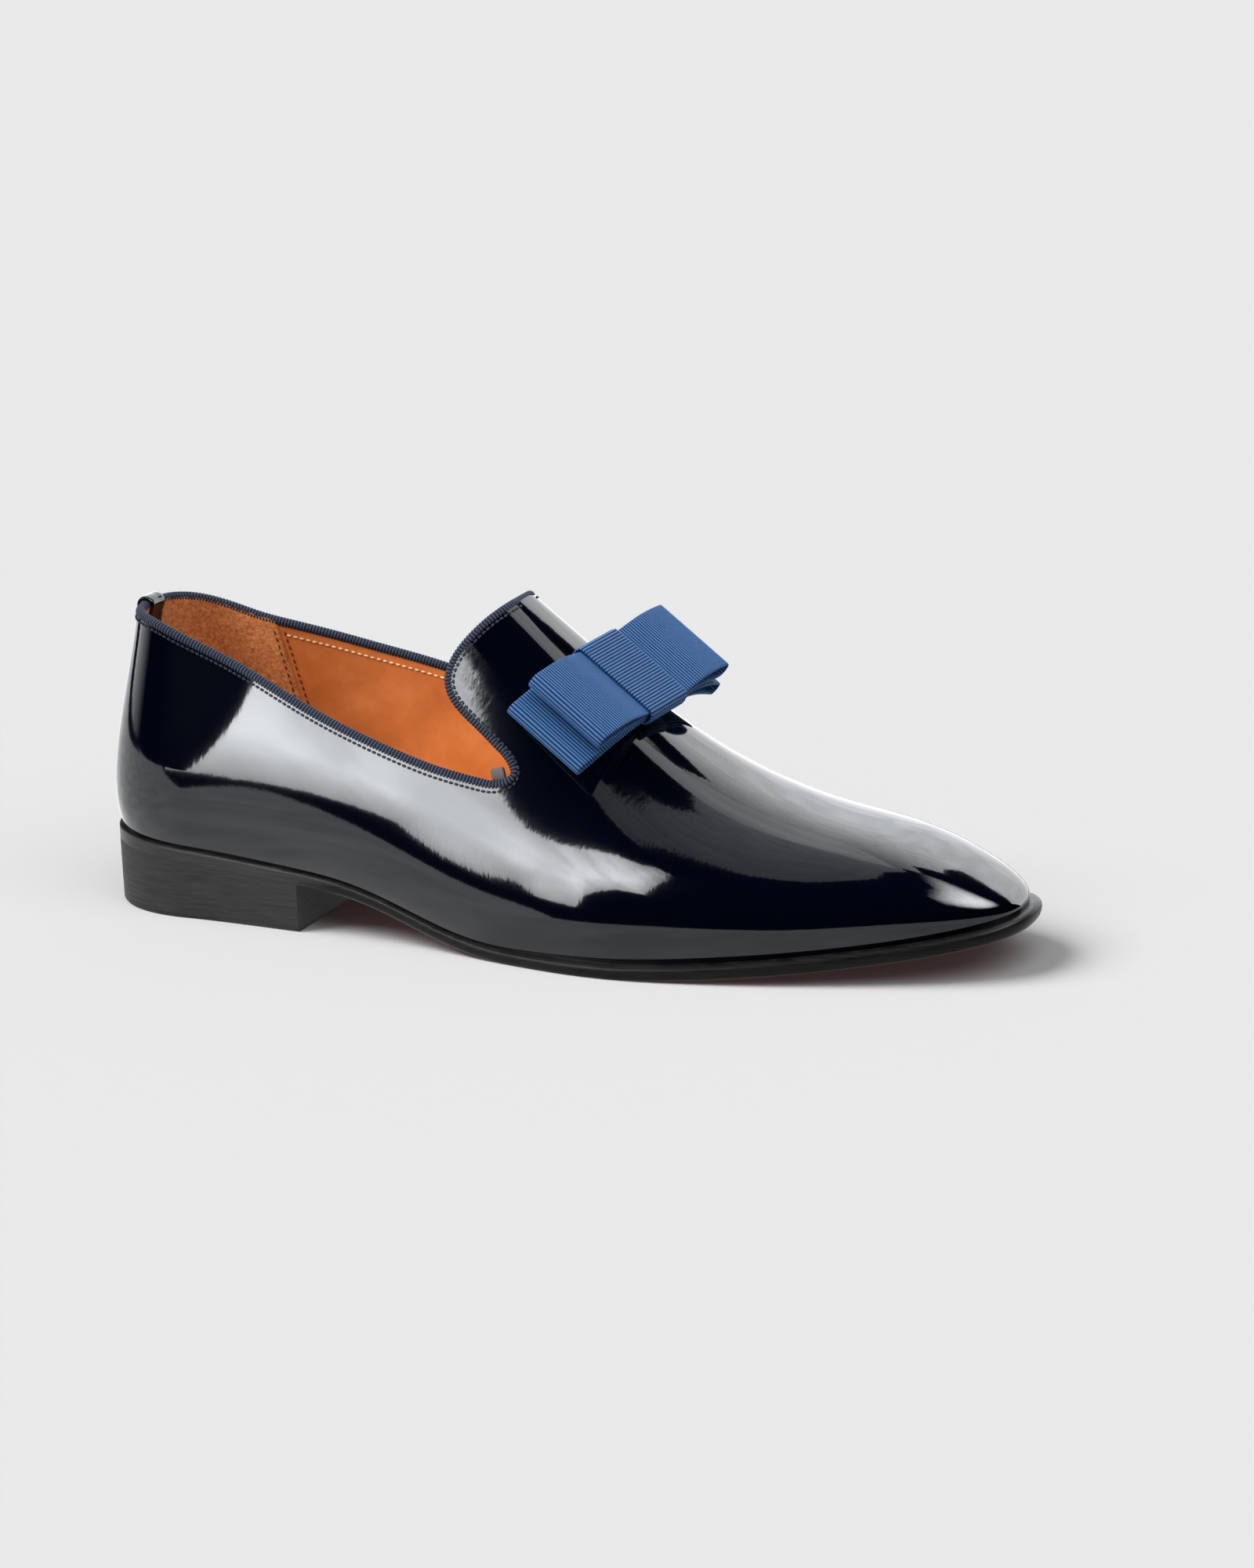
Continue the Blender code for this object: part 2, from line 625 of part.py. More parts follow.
def make_materials():
    made = {}
    for name, (colour, roughness, metallic) in MATERIALS.items():
        material = bpy.data.materials.new(name)
        material.use_nodes = True
        shader = material.node_tree.nodes["Principled BSDF"]
        shader.inputs["Base Color"].default_value = (*colour, 1.0)
        shader.inputs["Roughness"].default_value = roughness
        shader.inputs["Metallic"].default_value = metallic
        made[name] = material
    return made


def make_collection(name):
    collection = bpy.data.collections.new(name)
    bpy.context.scene.collection.children.link(collection)
    return collection


def centre_on_floor(items, cutters):
    """Put the origin under the middle of the shoe's box, on the floor."""
    bpy.context.view_layer.update()
    depsgraph = bpy.context.evaluated_depsgraph_get()
    corners = [np.array(item.evaluated_get(depsgraph).bound_box) for item in items]
    low = np.min([box.min(0) for box in corners], axis=0)
    high = np.max([box.max(0) for box in corners], axis=0)
    shift = np.array([(low[0] + high[0]) / 2, (low[1] + high[1]) / 2, 0.0])
    for item in items + cutters:
        for vertex in item.data.vertices:
            vertex.co = np.array(vertex.co) - shift


def build():
    clear_scene()
    parts = make_collection("patent_slip_on_right")
    tools = make_collection("cutters")
    look = make_materials()
    cutter = make_cutter(tools)
    items = [
        make_outsole(look["sole_edge"], parts),
        make_heel(look["heel_stack"], parts),
        make_upper(cutter, look["patent_leather"], parts),
        make_insole(look["lining_leather"], parts),
        make_tube("topline_binding", binding_path(BINDING_STEPS), BINDING_RADIUS, look["grosgrain_dark"], parts),
        make_back_stay(look["patent_leather"], parts),
    ]
    items += make_bow(look["grosgrain_blue"], parts)
    centre_on_floor(items, [cutter])


build()
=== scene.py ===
import functools
import math

import bpy
import numpy as np
from mathutils import Matrix, Vector


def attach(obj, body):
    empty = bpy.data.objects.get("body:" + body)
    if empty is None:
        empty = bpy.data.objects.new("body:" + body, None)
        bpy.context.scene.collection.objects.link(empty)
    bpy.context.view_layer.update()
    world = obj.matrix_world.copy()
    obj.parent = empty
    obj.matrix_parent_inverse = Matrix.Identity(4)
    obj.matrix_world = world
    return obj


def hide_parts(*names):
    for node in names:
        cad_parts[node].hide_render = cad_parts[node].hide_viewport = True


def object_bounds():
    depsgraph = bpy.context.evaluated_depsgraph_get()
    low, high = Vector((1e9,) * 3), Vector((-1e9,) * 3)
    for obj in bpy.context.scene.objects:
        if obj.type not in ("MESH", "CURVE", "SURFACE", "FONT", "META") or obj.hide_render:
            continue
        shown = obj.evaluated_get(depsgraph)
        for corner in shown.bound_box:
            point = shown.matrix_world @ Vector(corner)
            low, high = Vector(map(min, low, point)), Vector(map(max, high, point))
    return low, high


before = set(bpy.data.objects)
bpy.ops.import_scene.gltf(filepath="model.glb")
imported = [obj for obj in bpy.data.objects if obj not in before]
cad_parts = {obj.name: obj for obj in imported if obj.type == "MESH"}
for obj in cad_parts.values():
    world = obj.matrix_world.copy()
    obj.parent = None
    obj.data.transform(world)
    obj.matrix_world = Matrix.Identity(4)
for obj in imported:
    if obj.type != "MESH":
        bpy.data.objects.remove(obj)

CAD_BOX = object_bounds()
MM = 0.001

# Driving sizes, as in the part's source
FEATHER_LENGTH = 298.0
HEEL_CENTRE = 34.0
HEEL_SQUARE = 2.3
HEEL_BREAST = 74.0
TREAD_FLAT = (155.0, 181.0)
SEAT_HEIGHT = (21.2, 15.4)
TOE_SPRING = 12.4
SPRING_POWER = 1.65
SOLE_THICK = 4.7
WALL = 2.2
GAP = 0.3
INSOLE_THICK = 2.6
BINDING_RADIUS = 1.7
TOE_ROUND = (225.0, 2.55)
CREST_ROUND = (240.0, 2.4)

# x, lateral and medial half widths of the feather edge, sideways swing of its middle
WIDTHS = [
    (34, 29.0, 29.0, 0.0),
    (70, 31.5, 29.0, 0.0),
    (110, 35.2, 28.5, -0.5),
    (150, 42.0, 34.0, -0.3),
    (178, 45.2, 41.0, 0.0),
    (205, 42.8, 45.0, 0.3),
    (230, 38.4, 43.5, 1.2),
    (255, 34.4, 38.5, 3.0),
    (298, 32.0, 33.0, 6.0),
]
# x, crest height over the floor, sideways shift of the ridge towards the medial side
CREST = [
    (34, 166.0, 0.0),
    (80, 150.0, 2.0),
    (110, 127.5, 3.5),
    (134, 107.3, 4.5),
    (150, 94.0, 4.8),
    (166, 80.9, 4.5),
    (190, 63.4, 3.5),
    (215, 50.1, 2.5),
    (240, 42.2, 1.5),
    (265, 37.6, 0.5),
    (298, 28.0, 0.0),
]
# x, swell of the wall lateral and medial and its height, shoulder width lateral and medial and its height,
# brow width; widths are shares of the half width, heights are shares of the rise to the crest
SECTION = [
    (34, 4.2, 4.0, 0.10, 0.81, 0.86, 0.40, 0.50),
    (110, 6.0, 6.0, 0.13, 0.82, 0.93, 0.54, 0.44),
    (150, 3.2, 4.0, 0.20, 0.73, 0.86, 0.67, 0.38),
    (200, 4.0, 3.8, 0.31, 0.80, 0.88, 0.72, 0.38),
    (250, 2.6, 2.4, 0.36, 0.83, 0.90, 0.80, 0.46),
    (298, 2.3, 2.0, 0.41, 0.95, 0.97, 0.90, 0.51),
]
HEEL_BACK = {"feather": 33.1, "swell": 4.6, "shoulder": 0.75}
# x, how far the sole stands out past the feather edge
WELT = [(0, 1.4), (60, 1.3), (110, 0.8), (180, 3.0), (240, 3.6), (298, 3.7)]
# side view of the topline: along the collar from the heel, round the throat corner and up the tongue;
# x, height on the lateral side, how much higher the medial side runs
TOPLINE = [
    (-8.0, 94.2, 0.0),
    (10.0, 94.2, 0.0),
    (22.0, 92.9, -2.0),
    (35.2, 88.4, -1.8),
    (49.1, 83.3, 0.5),
    (63.8, 77.2, 3.8),
    (78.3, 71.0, 7.0),
    (94.2, 65.1, 9.8),
    (109.4, 60.1, 11.2),
    (124.6, 55.9, 11.2),
    (137.4, 53.6, 10.3),
    (144.9, 53.6, 9.2),
    (148.9, 56.6, 8.0),
    (146.9, 60.8, 6.6),
    (141.8, 65.2, 4.8),
    (135.0, 70.5, 2.8),
    (128.1, 76.2, 1.2),
    (124.8, 81.8, 0.4),
    (125.5, 87.6, 0.0),
    (129.5, 94.3, 0.0),
    (135.2, 100.3, 0.0),
    (141.0, 104.6, 0.0),
    (148.0, 109.5, 0.0),
]
COLLAR_STEPS = 400
COLLAR_HEEL_STEPS = 30
RIB_LEVELS = np.linspace(0.02, 0.999, 400)  # where a rib is searched for a height
BACK_STAY = {
    "half_width": 4.0, "length": 34.0, "inside": 8.0, "thick": 0.9,
    "lift": 0.4, "rounding": 0.12, "clear": 3.2, "fold": (-15.0, 195.0),
}

# Bow: place on the ridge and how far it sits to the lateral side, slope, turn in plan and sideways tilt
# in degrees, ribbon sizes, slack of the band round the loops and how flat its turns are
BOW = {
    "x": 171.0, "aside": 1.5, "slope": 36.0, "turn": 6.0, "tilt": 5.5,
    "width": 29.0, "band_width": 21.0, "thick": 0.8, "slack": 0.6, "flat": 0.6,
}
# how far along the ribbon, height of the loop's mid line over the bow's plane, half of the loop's opening
LOWER_LOOP = [(0, 0.55, 0.55), (11, 0.55, 0.55), (20, -0.6, 1.1), (32, -4.2, 2.0), (42, -8.5, 2.2)]
UPPER_LOOP = [(0, 2.75, 0.55), (11, 2.75, 0.55), (20, 3.6, 1.7), (31, 3.0, 2.5), (38, 2.0, 2.5)]

# Details that only the looks have
SIDES = (("lateral", -1), ("medial", 1))
SHELL_STEP = 1.1  # mesh size of the glossy upper
SHELL_LEVELS = 130
LINING_STEP = 1.3 * SHELL_STEP
LINING_SHORT = 12.0  # how far before the toe the lining ends
WALL_LEVELS = np.linspace(0.005, 0.999, 500)  # where the lining and the suede are searched for a height
SUEDE_LEVELS = np.linspace(0.003, 0.999, 400)
OPENING_ROOF = 230.0  # in side view the opening reaches up to here, and this far behind the heel
OPENING_BACK = 40.0
# lower edge of the upper, drawn in over the sole: inset, drop
LASTING_EDGE = [(0.0, 0.0), (0.25, 0.16), (0.8, 0.24), (3.0, 0.24)]
# ribs; the binding's stay a little inside its tube, and its power makes their tops broad
BINDING_RIB = {"pitch": 1.08, "depth": 0.36, "steps": 6, "sides": 16, "inside": 0.1, "power": 0.6}
BOW_RIB = {"pitch": 1.05, "depth": 0.28, "steps": 6}
# across the bow's ribbon: place as a share of half its width, share of the thickness there
RIBBON_ACROSS = [
    (-1.0, 0.45), (-0.99, 0.85), (-0.93, 1.0), (-0.5, 1.0), (0.0, 1.0),
    (0.5, 1.0), (0.93, 1.0), (0.99, 0.85), (1.0, 0.45),
]
SOLE_STEP = 2.0
# rounded sole edge: share of its height from the top, inset from the sole's outline
SOLE_EDGE = [
    (0.0, 2.0), (0.05, 1.2), (0.12, 0.6), (0.22, 0.22), (0.34, 0.04), (0.46, 0.0),
    (0.58, 0.03), (0.7, 0.12), (0.82, 0.3), (0.9, 0.48), (0.96, 0.66), (1.0, 0.9),
]
SOLE_GROOVE_PAINTED_SHADOW = 0.13  # share of the edge's height that is black all round, under the upper: painted shadow of the groove there
SOLE_EDGE_PLAIN = 0.1  # inset of the edge over the heel, where it isn't rounded
SOLE_EDGE_START = (68.0, 26.0)  # x where the rounding begins, and over what length it comes in
SOLE_TOP_DROP = 0.06  # sole's top under the feather edge
TREAD_RIM = 1.2
SKIN = 0.02  # how far a thin skin lies off its neighbour
# heel: share of its height from the top, inset from the sole's outline
HEEL_EDGE = [(0.0, 0.1), (0.3, 0.16), (0.6, 0.24), (0.9, 0.36), (0.965, 0.42), (1.0, 1.0)]
TOP_LIFT = (1.0, 3.0)  # insets of the two rings of the rubber under the heel
SOLE_CORNER = 50.0  # degrees from which an edge of the mesh is sharp
HEEL_CORNER = 40.0
# insole sock: inset from the feather edge, drop below the sock's rim
SOCK_EDGE = [(2.5, 0.0), (3.3, 0.55), (4.5, 0.82), (6.5, 0.9)]
SOCK_STEP = 2.5
SOCK_SHORT = 8.0  # how far before the toe the sock ends
THROAT_TAB = {
    "place": (143.0, -30.4, 56.2), "half": (2.3, 0.7, 2.0), "lean": 12.0, "square": 0.35, "mesh": (24, 15),
}
BACK_STAY_EDGE = {"thinner": 0.35, "power": 8}
BACK_STAY_MESH = {"across": 25, "up": 40, "fold": 22, "down": 12}
# suede heel lining: front edge at the topline and at the insole, mesh, lift off the lining, tuck of its rim
SEAM_X = (43.0, 56.0)
SUEDE = {"down": 44, "round": 40, "lift": 0.35, "tuck": 0.1}
SEAM_ROWS = (0.965, 1.045)  # stitch rows on both sides of the seam, as shares of the way from the back
THREAD_LIFT = 0.1
# cream stitch row: distance below the binding, lift off the lining, start after the seam, end, step
CREAM_ROW = {"drop": 2.2, "lift": 0.12, "after": 3.0, "end": 138.0, "step": 2.0}
LINING_STITCH = {"pitch": 2.2, "length": 1.5, "radius": 0.3}
SEAM_STITCH = {"pitch": 2.4, "length": 1.6, "radius": 0.26}
BINDING_STITCH = {"pitch": 1.8, "length": 1.45, "radius": 0.42}
STITCH_SHAPE = {"sides": 8, "rings": 7, "end": 0.04, "power": 3}
OFF_ROW = (0.3, 0.2, 1.0)  # a direction that no stitch row follows
# Colours along a noise: place from 0 to 1, colour
LINING_TONES = [(0.25, (0.58, 0.16, 0.036)), (0.55, (0.72, 0.215, 0.055)), (0.8, (0.82, 0.28, 0.085))]
SUEDE_TONES = [(0.3, (0.36, 0.10, 0.025)), (0.48, (0.74, 0.25, 0.075)), (0.68, (0.92, 0.42, 0.17))]
WEAVE_TONES = [(0.3, (0.55, 0.55, 0.6)), (0.65, (1.0, 1.0, 1.0))]
HEEL_TONES = [(0.3, (0.022, 0.021, 0.022)), (0.7, (0.041, 0.040, 0.041))]
EDGE_TONES = [(0.3, (0.002, 0.0018, 0.002)), (0.7, (0.010, 0.009, 0.010))]
TREAD_TONES = [(0.3, (0.075, 0.012, 0.011)), (0.7, (0.14, 0.026, 0.022))]
RUBBER_TONES = [(0.3, (0.013, 0.013, 0.013)), (0.7, (0.026, 0.026, 0.025))]
# Groove, flank and ridge colours of the corded ribbons: the dark grooves are painted shade, the light
# ridges painted highlight
BLUE_RIBBON_PAINTED_SHADING = ((0.0004, 0.0015, 0.009), (0.006, 0.023, 0.076), (0.057, 0.168, 0.400))
DARK_RIBBON_PAINTED_SHADING = ((0.0003, 0.0004, 0.001), (0.003, 0.004, 0.009), (0.042, 0.053, 0.084))
# Light and dark of the threads and the tab
DARK_THREAD = ((0.12, 0.035, 0.012), (0.05, 0.014, 0.005))
CREAM_THREAD = ((0.78, 0.62, 0.42), (0.5, 0.34, 0.2))
NAVY_THREAD = ((0.010, 0.013, 0.024), (0.002, 0.003, 0.006))
TAB_THREAD = ((0.115, 0.09, 0.08), (0.045, 0.036, 0.033))
# Panels that show only as reflections; strength is how bright they are.
# near floor: x, y of its front edge, strength
MIRROR_FLOOR = [(-600, -686, 1.5), (115, -118, 1.5), (180, -140, 1.15), (300, -125, 1.0), (900, -125, 0.9)]
MIRROR_FLOOR_BACK = 600.0
# front panel: where its foot runs (x, y), strengths of its low edge, core and high edge, then rows of those
# three lines as x along the foot and z, each row with its share of the strengths
FRONT_FOOT = ((-75, -191), (230, -500))
FRONT_GLOW = (7, 17, 12)
FRONT_PANEL = [
    ((-84, 33), (-84, 70), (-84, 125), 1.0),
    ((-40, 34), (-40, 70), (-40, 130), 1.0),
    ((-9, 37), (-6, 75), (0, 132), 1.0),
    ((-3, 13), (11, 80), (15, 142), 1.0),
    ((34, 9), (40, 95), (30, 165), 1.0),
    ((50, 60), (58, 125), (51, 198), 1.0),
    ((100, 128), (100, 175), (86, 258), 1.0),
    ((150, 155), (130, 215), (104, 286), 1.0),
    ((172, 250), (155, 290), (128, 330), 0.8),
    ((200, 360), (185, 375), (165, 385), 0.5),
    ((215, 450), (208, 452), (200, 455), 0.3),
]
# dark card beside the heel that ends the front panel's reflection: its y, and its outline x, z
DARK_CARD = (-62, [(-60, 46), (19, 46), (20, 54), (21, 63), (24, 70), (30, 78), (42, 100), (-60, 100)])
# back wall and roof, from the floor up and over to the front: y, z, strength, x of the toe end
BACK_PANEL_FROM = -700
BACK_PANEL = [
    (900, 0, 3.1, 740),
    (900, 420, 2.9, 740),
    (900, 480, 2.8, 350),
    (900, 600, 2.7, 368),
    (900, 740, 2.6, 425),
    (900, 1200, 2.2, 450),
    (700, 1200, 1.85, 540),
    (480, 1200, 1.55, 505),
    (280, 1200, 1.35, 490),
    (0, 1200, 1.1, 430),
    (-300, 1200, 0.9, 450),
    (-700, 1200, 0.72, 320),
    (-950, 1200, 0.65, 190),
]
# panel over the tongue: corners as x, y, z and strength
TONGUE_PANEL = [(256, 37, 316, 2.2), (156, 106, 321, 2.4), (169, 198, 236, 2.8), (304, 56, 277, 2.2)]
# toe panel: a soft oval seen from this place, this far off; its middle and half sizes as azimuth from -y to
# +x and elevation in degrees, its strength, and its corners along and up
TOE_PANEL = {
    "place": (283, -15, 25), "distance": 900.0, "middle": (106, 51), "half": (54, 17), "strength": 17.0,
    "corners": (15, 11),
}
# weak panel behind the heel: corners as x, y, z and strength
HEEL_PANEL = [(-900, -350, 0, 0), (-900, 300, 0, 3.0), (-900, 300, 600, 3.0), (-900, -350, 600, 0)]
GLOW_COLOUR = (0.95, 0.98, 1.0, 1.0)
# daylight from all round, and two soft suns: where they come from, strength, width in degrees
WORLD_COLOUR = (0.98, 0.99, 1.0, 1.0)
WORLD_STRENGTH = 0.25
SUNS = {"key": ((-1.0, -0.45, 1.2), 5.0, 40.0), "top": ((0.6, -0.5, 1.3), 1.6, 60.0)}
# small lamp into the opening: place, where it points, watts, cone in degrees, softness of its rim, radius
LAMP = {
    "place": (40, -190, 260), "aim": (124, 10, 66), "watts": 2.3,
    "cone": 20.0, "blend": 0.7, "radius": 30.0,
}
LAMP_ON = ("lining", "heel_lining_suede", "insole_sock", "topline_stitches_medial", "binding_end_tab")
FLOOR_TONE = (0.44, 0.44, 0.44)
FLOOR_REACH = 60000.0
CAMERA = {
    "azimuth": 22.2, "elevation": 15.58, "roll": -1.47, "distance": 1300.0, "aim": (172.65, 0.0, 47.25),
}
FOCAL_PIXELS = 5391.7
IMAGE_WIDTH = 1600
SENSOR_WIDTH = 36.0


def spline(xs, ys, start_slope=None):
    """Cubic spline through a short table, free at the toe end, free or with a set slope at the heel end."""
    xs = np.asarray(xs, float)
    ys = np.asarray(ys, float)
    n = len(xs)
    h = np.diff(xs)
    a = np.zeros((n, n))
    b = np.zeros(n)
    a[0, 0] = a[-1, -1] = 1.0
    if start_slope is not None:
        a[0, :2] = 2 * h[0], h[0]
        b[0] = 6 * ((ys[1] - ys[0]) / h[0] - start_slope)
    for i in range(1, n - 1):
        a[i, i - 1:i + 2] = h[i - 1], 2 * (h[i - 1] + h[i]), h[i]
        b[i] = 6 * ((ys[i + 1] - ys[i]) / h[i] - (ys[i] - ys[i - 1]) / h[i - 1])
    m = np.linalg.solve(a, b)

    def at(x):
        x = np.asarray(x, float)
        i = np.clip(np.searchsorted(xs, x) - 1, 0, n - 2)
        low, high, step = x - xs[i], xs[i + 1] - x, h[i]
        bend = (m[i] * high ** 3 + m[i + 1] * low ** 3) / (6 * step)
        start = (ys[i] / step - m[i] * step / 6) * high
        end = (ys[i + 1] / step - m[i + 1] * step / 6) * low
        return bend + start + end
    return at


def column(rows, k, start_slope=None):
    """Spline through one column of a table against its first."""
    return spline([row[0] for row in rows], [row[k] for row in rows], start_slope)


def unit(vectors):
    """Rows of vectors, each made one long."""
    return vectors / np.linalg.norm(vectors, axis=1)[:, None]


def interpolate(at, known, rows):
    """Rows of numbers at new places between known ones."""
    return np.stack([np.interp(at, known, rows[:, k]) for k in range(rows.shape[1])], -1)


half_width = {-1: column(WIDTHS, 1, 0.0), 1: column(WIDTHS, 2, 0.0)}
swing = column(WIDTHS, 3, 0.0)
crest_height = column(CREST, 1)
ridge_shift = column(CREST, 2, 0.0)
swell = {-1: column(SECTION, 1, 0.0), 1: column(SECTION, 2, 0.0)}
shoulder_width = {-1: column(SECTION, 4, 0.0), 1: column(SECTION, 5, 0.0)}
swell_level, shoulder_level, brow_width = [column(SECTION, k, 0.0) for k in (3, 6, 7)]
welt = column(WELT, 1, 0.0)


def sole_bottom(x):
    """Underside of the sole: sloping heel seat, waist, flat tread and toe spring."""
    x = np.asarray(x, float)
    slope = (SEAT_HEIGHT[1] - SEAT_HEIGHT[0]) / HEEL_BREAST
    span = TREAD_FLAT[0] - HEEL_BREAST
    t = np.clip((x - HEEL_BREAST) / span, 0, 1)
    fall = 1 - 10 * t ** 3 + 15 * t ** 4 - 6 * t ** 5
    lead = t - 6 * t ** 3 + 8 * t ** 4 - 3 * t ** 5
    waist = SEAT_HEIGHT[1] * fall + slope * span * lead
    s = np.clip((x - TREAD_FLAT[1]) / (FEATHER_LENGTH - TREAD_FLAT[1]), 0, 1.2)
    toe = TOE_SPRING * s ** SPRING_POWER
    return np.where(x < HEEL_BREAST, SEAT_HEIGHT[0] + slope * x, np.where(x < TREAD_FLAT[0], waist, toe))


def feather_height(x):
    return sole_bottom(x) + SOLE_THICK


def closing(x, start, power):
    """Factor that falls from 1 to 0 at the toe along a superellipse."""
    s = np.clip((x - start) / (FEATHER_LENGTH - start), 0, 1)
    return (1 - s ** power) ** (1 / power)


def cubic_basis(t, count):
    """Values of clamped uniform cubic B-spline functions at t in 0..1."""
    inner = np.linspace(0, 1, count - 2)
    knots = np.concatenate([np.zeros(3), inner, np.ones(3)])
    t = np.clip(np.asarray(t, float), 0, 1 - 1e-9)
    values = [((t >= low) & (t < high)).astype(float) for low, high in zip(knots[:-1], knots[1:])]
    for degree in range(1, 4):
        raised = []
        for i in range(len(values) - 1):
            rise = knots[i + degree] - knots[i]
            fall = knots[i + degree + 1] - knots[i + 1]
            left = (t - knots[i]) / rise * values[i] if rise > 0 else 0 * t
            right = (knots[i + degree + 1] - t) / fall * values[i + 1] if fall > 0 else 0 * t
            raised.append(left + right)
        values = raised
    return np.array(values).T


def side_levels(x, side):
    """Distance out from the middle and height over the feather edge of the five control levels."""
    plan = closing(x, *TOE_ROUND)
    rise = (crest_height(x) - feather_height(x)) * closing(x, *CREST_ROUND)
    w = half_width[side](x) * plan
    out = [w, w + swell[side](x) * plan, shoulder_width[side](x) * w, brow_width(x) * w, 0.0]
    up = [0.0, swell_level(x) * rise, shoulder_level(x) * rise, rise, rise]
    return np.array(out), np.array(up)


def controls(u, side):
    """Control points of one rib, from the feather edge to the crest.

    u is the station's x from the heel centre to the toe; below the heel centre it turns round the heel,
    and reaches the middle of the back at 0.
    """
    if u >= HEEL_CENTRE:
        out, up = side_levels(u, side)
        ridge = np.array([0, 0, 0, 1, 1]) * ridge_shift(u) * closing(u, *TOE_ROUND)
        y = swing(u) + side * out + ridge
        return np.stack([np.full(5, u), y, feather_height(u) + up], 1)
    turn = math.pi / 2 * (1 - u / HEEL_CENTRE)
    out, up = side_levels(HEEL_CENTRE, side)
    reach = HEEL_BACK["feather"]
    back = np.array([reach, reach + HEEL_BACK["swell"], reach * HEEL_BACK["shoulder"], out[3], 1.0])
    out = np.append(out[:4], 1.0)
    c, s = math.cos(turn), math.sin(turn)
    r = ((c / out) ** HEEL_SQUARE + (s / back) ** HEEL_SQUARE) ** (-1 / HEEL_SQUARE)
    r[4] = 0.0
    low = feather_height(HEEL_CENTRE - r[0] * s)
    base = low + (feather_height(HEEL_CENTRE) - low) * up / up[4]
    return np.stack([HEEL_CENTRE - r * s, side * r * c, base + up], 1)


def rib(u, side, t):
    """Points of the last's surface up one rib: t is 0 at the feather edge and 1 at the crest."""
    near = controls(u, side)
    if u >= HEEL_CENTRE:
        far = controls(u, -side)
    else:
        far = near * [-1, -1, 1] + [2 * HEEL_CENTRE, 0, 0]
    net = np.vstack([near, far[3::-1]])
    return cubic_basis(np.asarray(t) / 2, 9) @ net


def surface(u, side, t, offset=0.0):
    """Points up a rib, moved out along the surface's normal."""
    points = rib(u, side, t)
    if offset == 0.0:
        return points
    step = 0.05
    t = np.clip(np.asarray(t, float), step / 10, 1 - step / 10)
    along = rib(u + step, side, t) - rib(max(u - step, 0.0), side, t)
    climb = rib(u, side, t + step / 20) - rib(u, side, t - step / 20)
    normal = np.cross(along, climb) * -side
    return points + offset * normal / np.linalg.norm(normal, axis=1)[:, None]


def stations(step):
    """Rib positions from the back of the heel to the toe tip, closer together round heel and toe."""
    heel = np.linspace(0, HEEL_CENTRE, int(math.pi * HEEL_CENTRE / 2 / step))
    body = np.linspace(HEEL_CENTRE, TOE_ROUND[0], int((TOE_ROUND[0] - HEEL_CENTRE) / step))
    turn = np.linspace(0, math.pi / 2, int(1.2 * (FEATHER_LENGTH - TOE_ROUND[0]) / step))
    toe = TOE_ROUND[0] + (FEATHER_LENGTH - TOE_ROUND[0]) * np.sin(turn) ** (2 / TOE_ROUND[1])
    return np.concatenate([heel, body[1:], toe[1:]])


@functools.lru_cache(maxsize=None)
def edge_run(side):
    """Stations and unit directions along the feather edge, close together."""
    us = stations(0.5)
    run = np.gradient(np.array([controls(u, side)[0, :2] for u in us]), axis=0)
    run[0], run[-1] = (0, side), (0, -side)
    return us, unit(run)


def outline(us, side, out):
    """Plan of the feather edge on one side, moved outwards; out is a function of x."""
    edge = np.array([controls(u, side)[0, :2] for u in us])
    dense, dense_run = edge_run(side)
    run = interpolate(us, dense, dense_run)
    normal = unit(np.stack([-run[:, 1], run[:, 0]], 1) * side)
    return edge + normal * out(edge[:, 0])[:, None]


def path_length(points):
    """Length along a path at each of its points."""
    return np.concatenate([[0], np.cumsum(np.linalg.norm(np.diff(points, axis=0), axis=1))])


def path_spline(points):
    """Smooth curve through side-view points, by chord length; returns points at shares 0..1."""
    length = path_length(points)
    parts = [spline(length, points[:, k]) for k in range(points.shape[1])]
    return lambda s: np.stack([part(np.asarray(s) * length[-1]) for part in parts], -1)


def resample(points, count):
    """Evenly spaced points along a path, its two ends kept."""
    length = path_length(points)
    return interpolate(np.linspace(0, length[-1], count), length, points)


@functools.lru_cache(maxsize=None)
def topline_profile(side):
    """Side view of the topline on one side, as x and z."""
    table = np.array(TOPLINE)
    table[:, 1] += table[:, 2] * (side > 0)
    return path_spline(table[:, :2])(np.linspace(0, 1, COLLAR_STEPS))


def topline_half(side, offset, drop=0.0):
    """The topline on the last, from the back of the heel to the top of the tongue, or a line below it."""
    profile = topline_profile(side)
    if drop:
        run = unit(np.gradient(profile, axis=0))
        profile = profile + drop * np.stack([run[:, 1], -run[:, 0]], 1)
    collar = profile[profile[:, 1].argmin()::-1]
    path = []
    for u in np.linspace(0, HEEL_CENTRE, COLLAR_HEEL_STEPS)[:-1]:
        points = surface(u, side, RIB_LEVELS, offset)
        over = points[:, 2] - np.interp(points[:, 0], collar[::-1, 0], collar[::-1, 1])
        k = np.argmax(over > 0)
        share = over[k - 1] / (over[k - 1] - over[k])
        path.append(points[k - 1] + share * (points[k] - points[k - 1]))
    for x, z in profile[profile[:, 0] >= HEEL_CENTRE]:
        u = x
        for _ in range(3):
            points = surface(u, side, RIB_LEVELS, offset)
            k = min(np.argmax(np.append(points[:, 2], np.inf) > z), len(points) - 1)
            share = np.clip((z - points[k - 1, 2]) / (points[k, 2] - points[k - 1, 2]), 0, 1)
            place = points[k - 1] + share * (points[k] - points[k - 1])
            u += x - place[0]
        if z > points[-1, 2]:
            break
        path.append(place)
    return np.array(path)


def sole_ring(us, out, height):
    """Closed ring round the sole at a height, with its edge moved out."""
    ring = np.vstack([outline(us, -1, out), outline(us, 1, out)[::-1]])
    return np.column_stack([ring, height(ring[:, 0])])


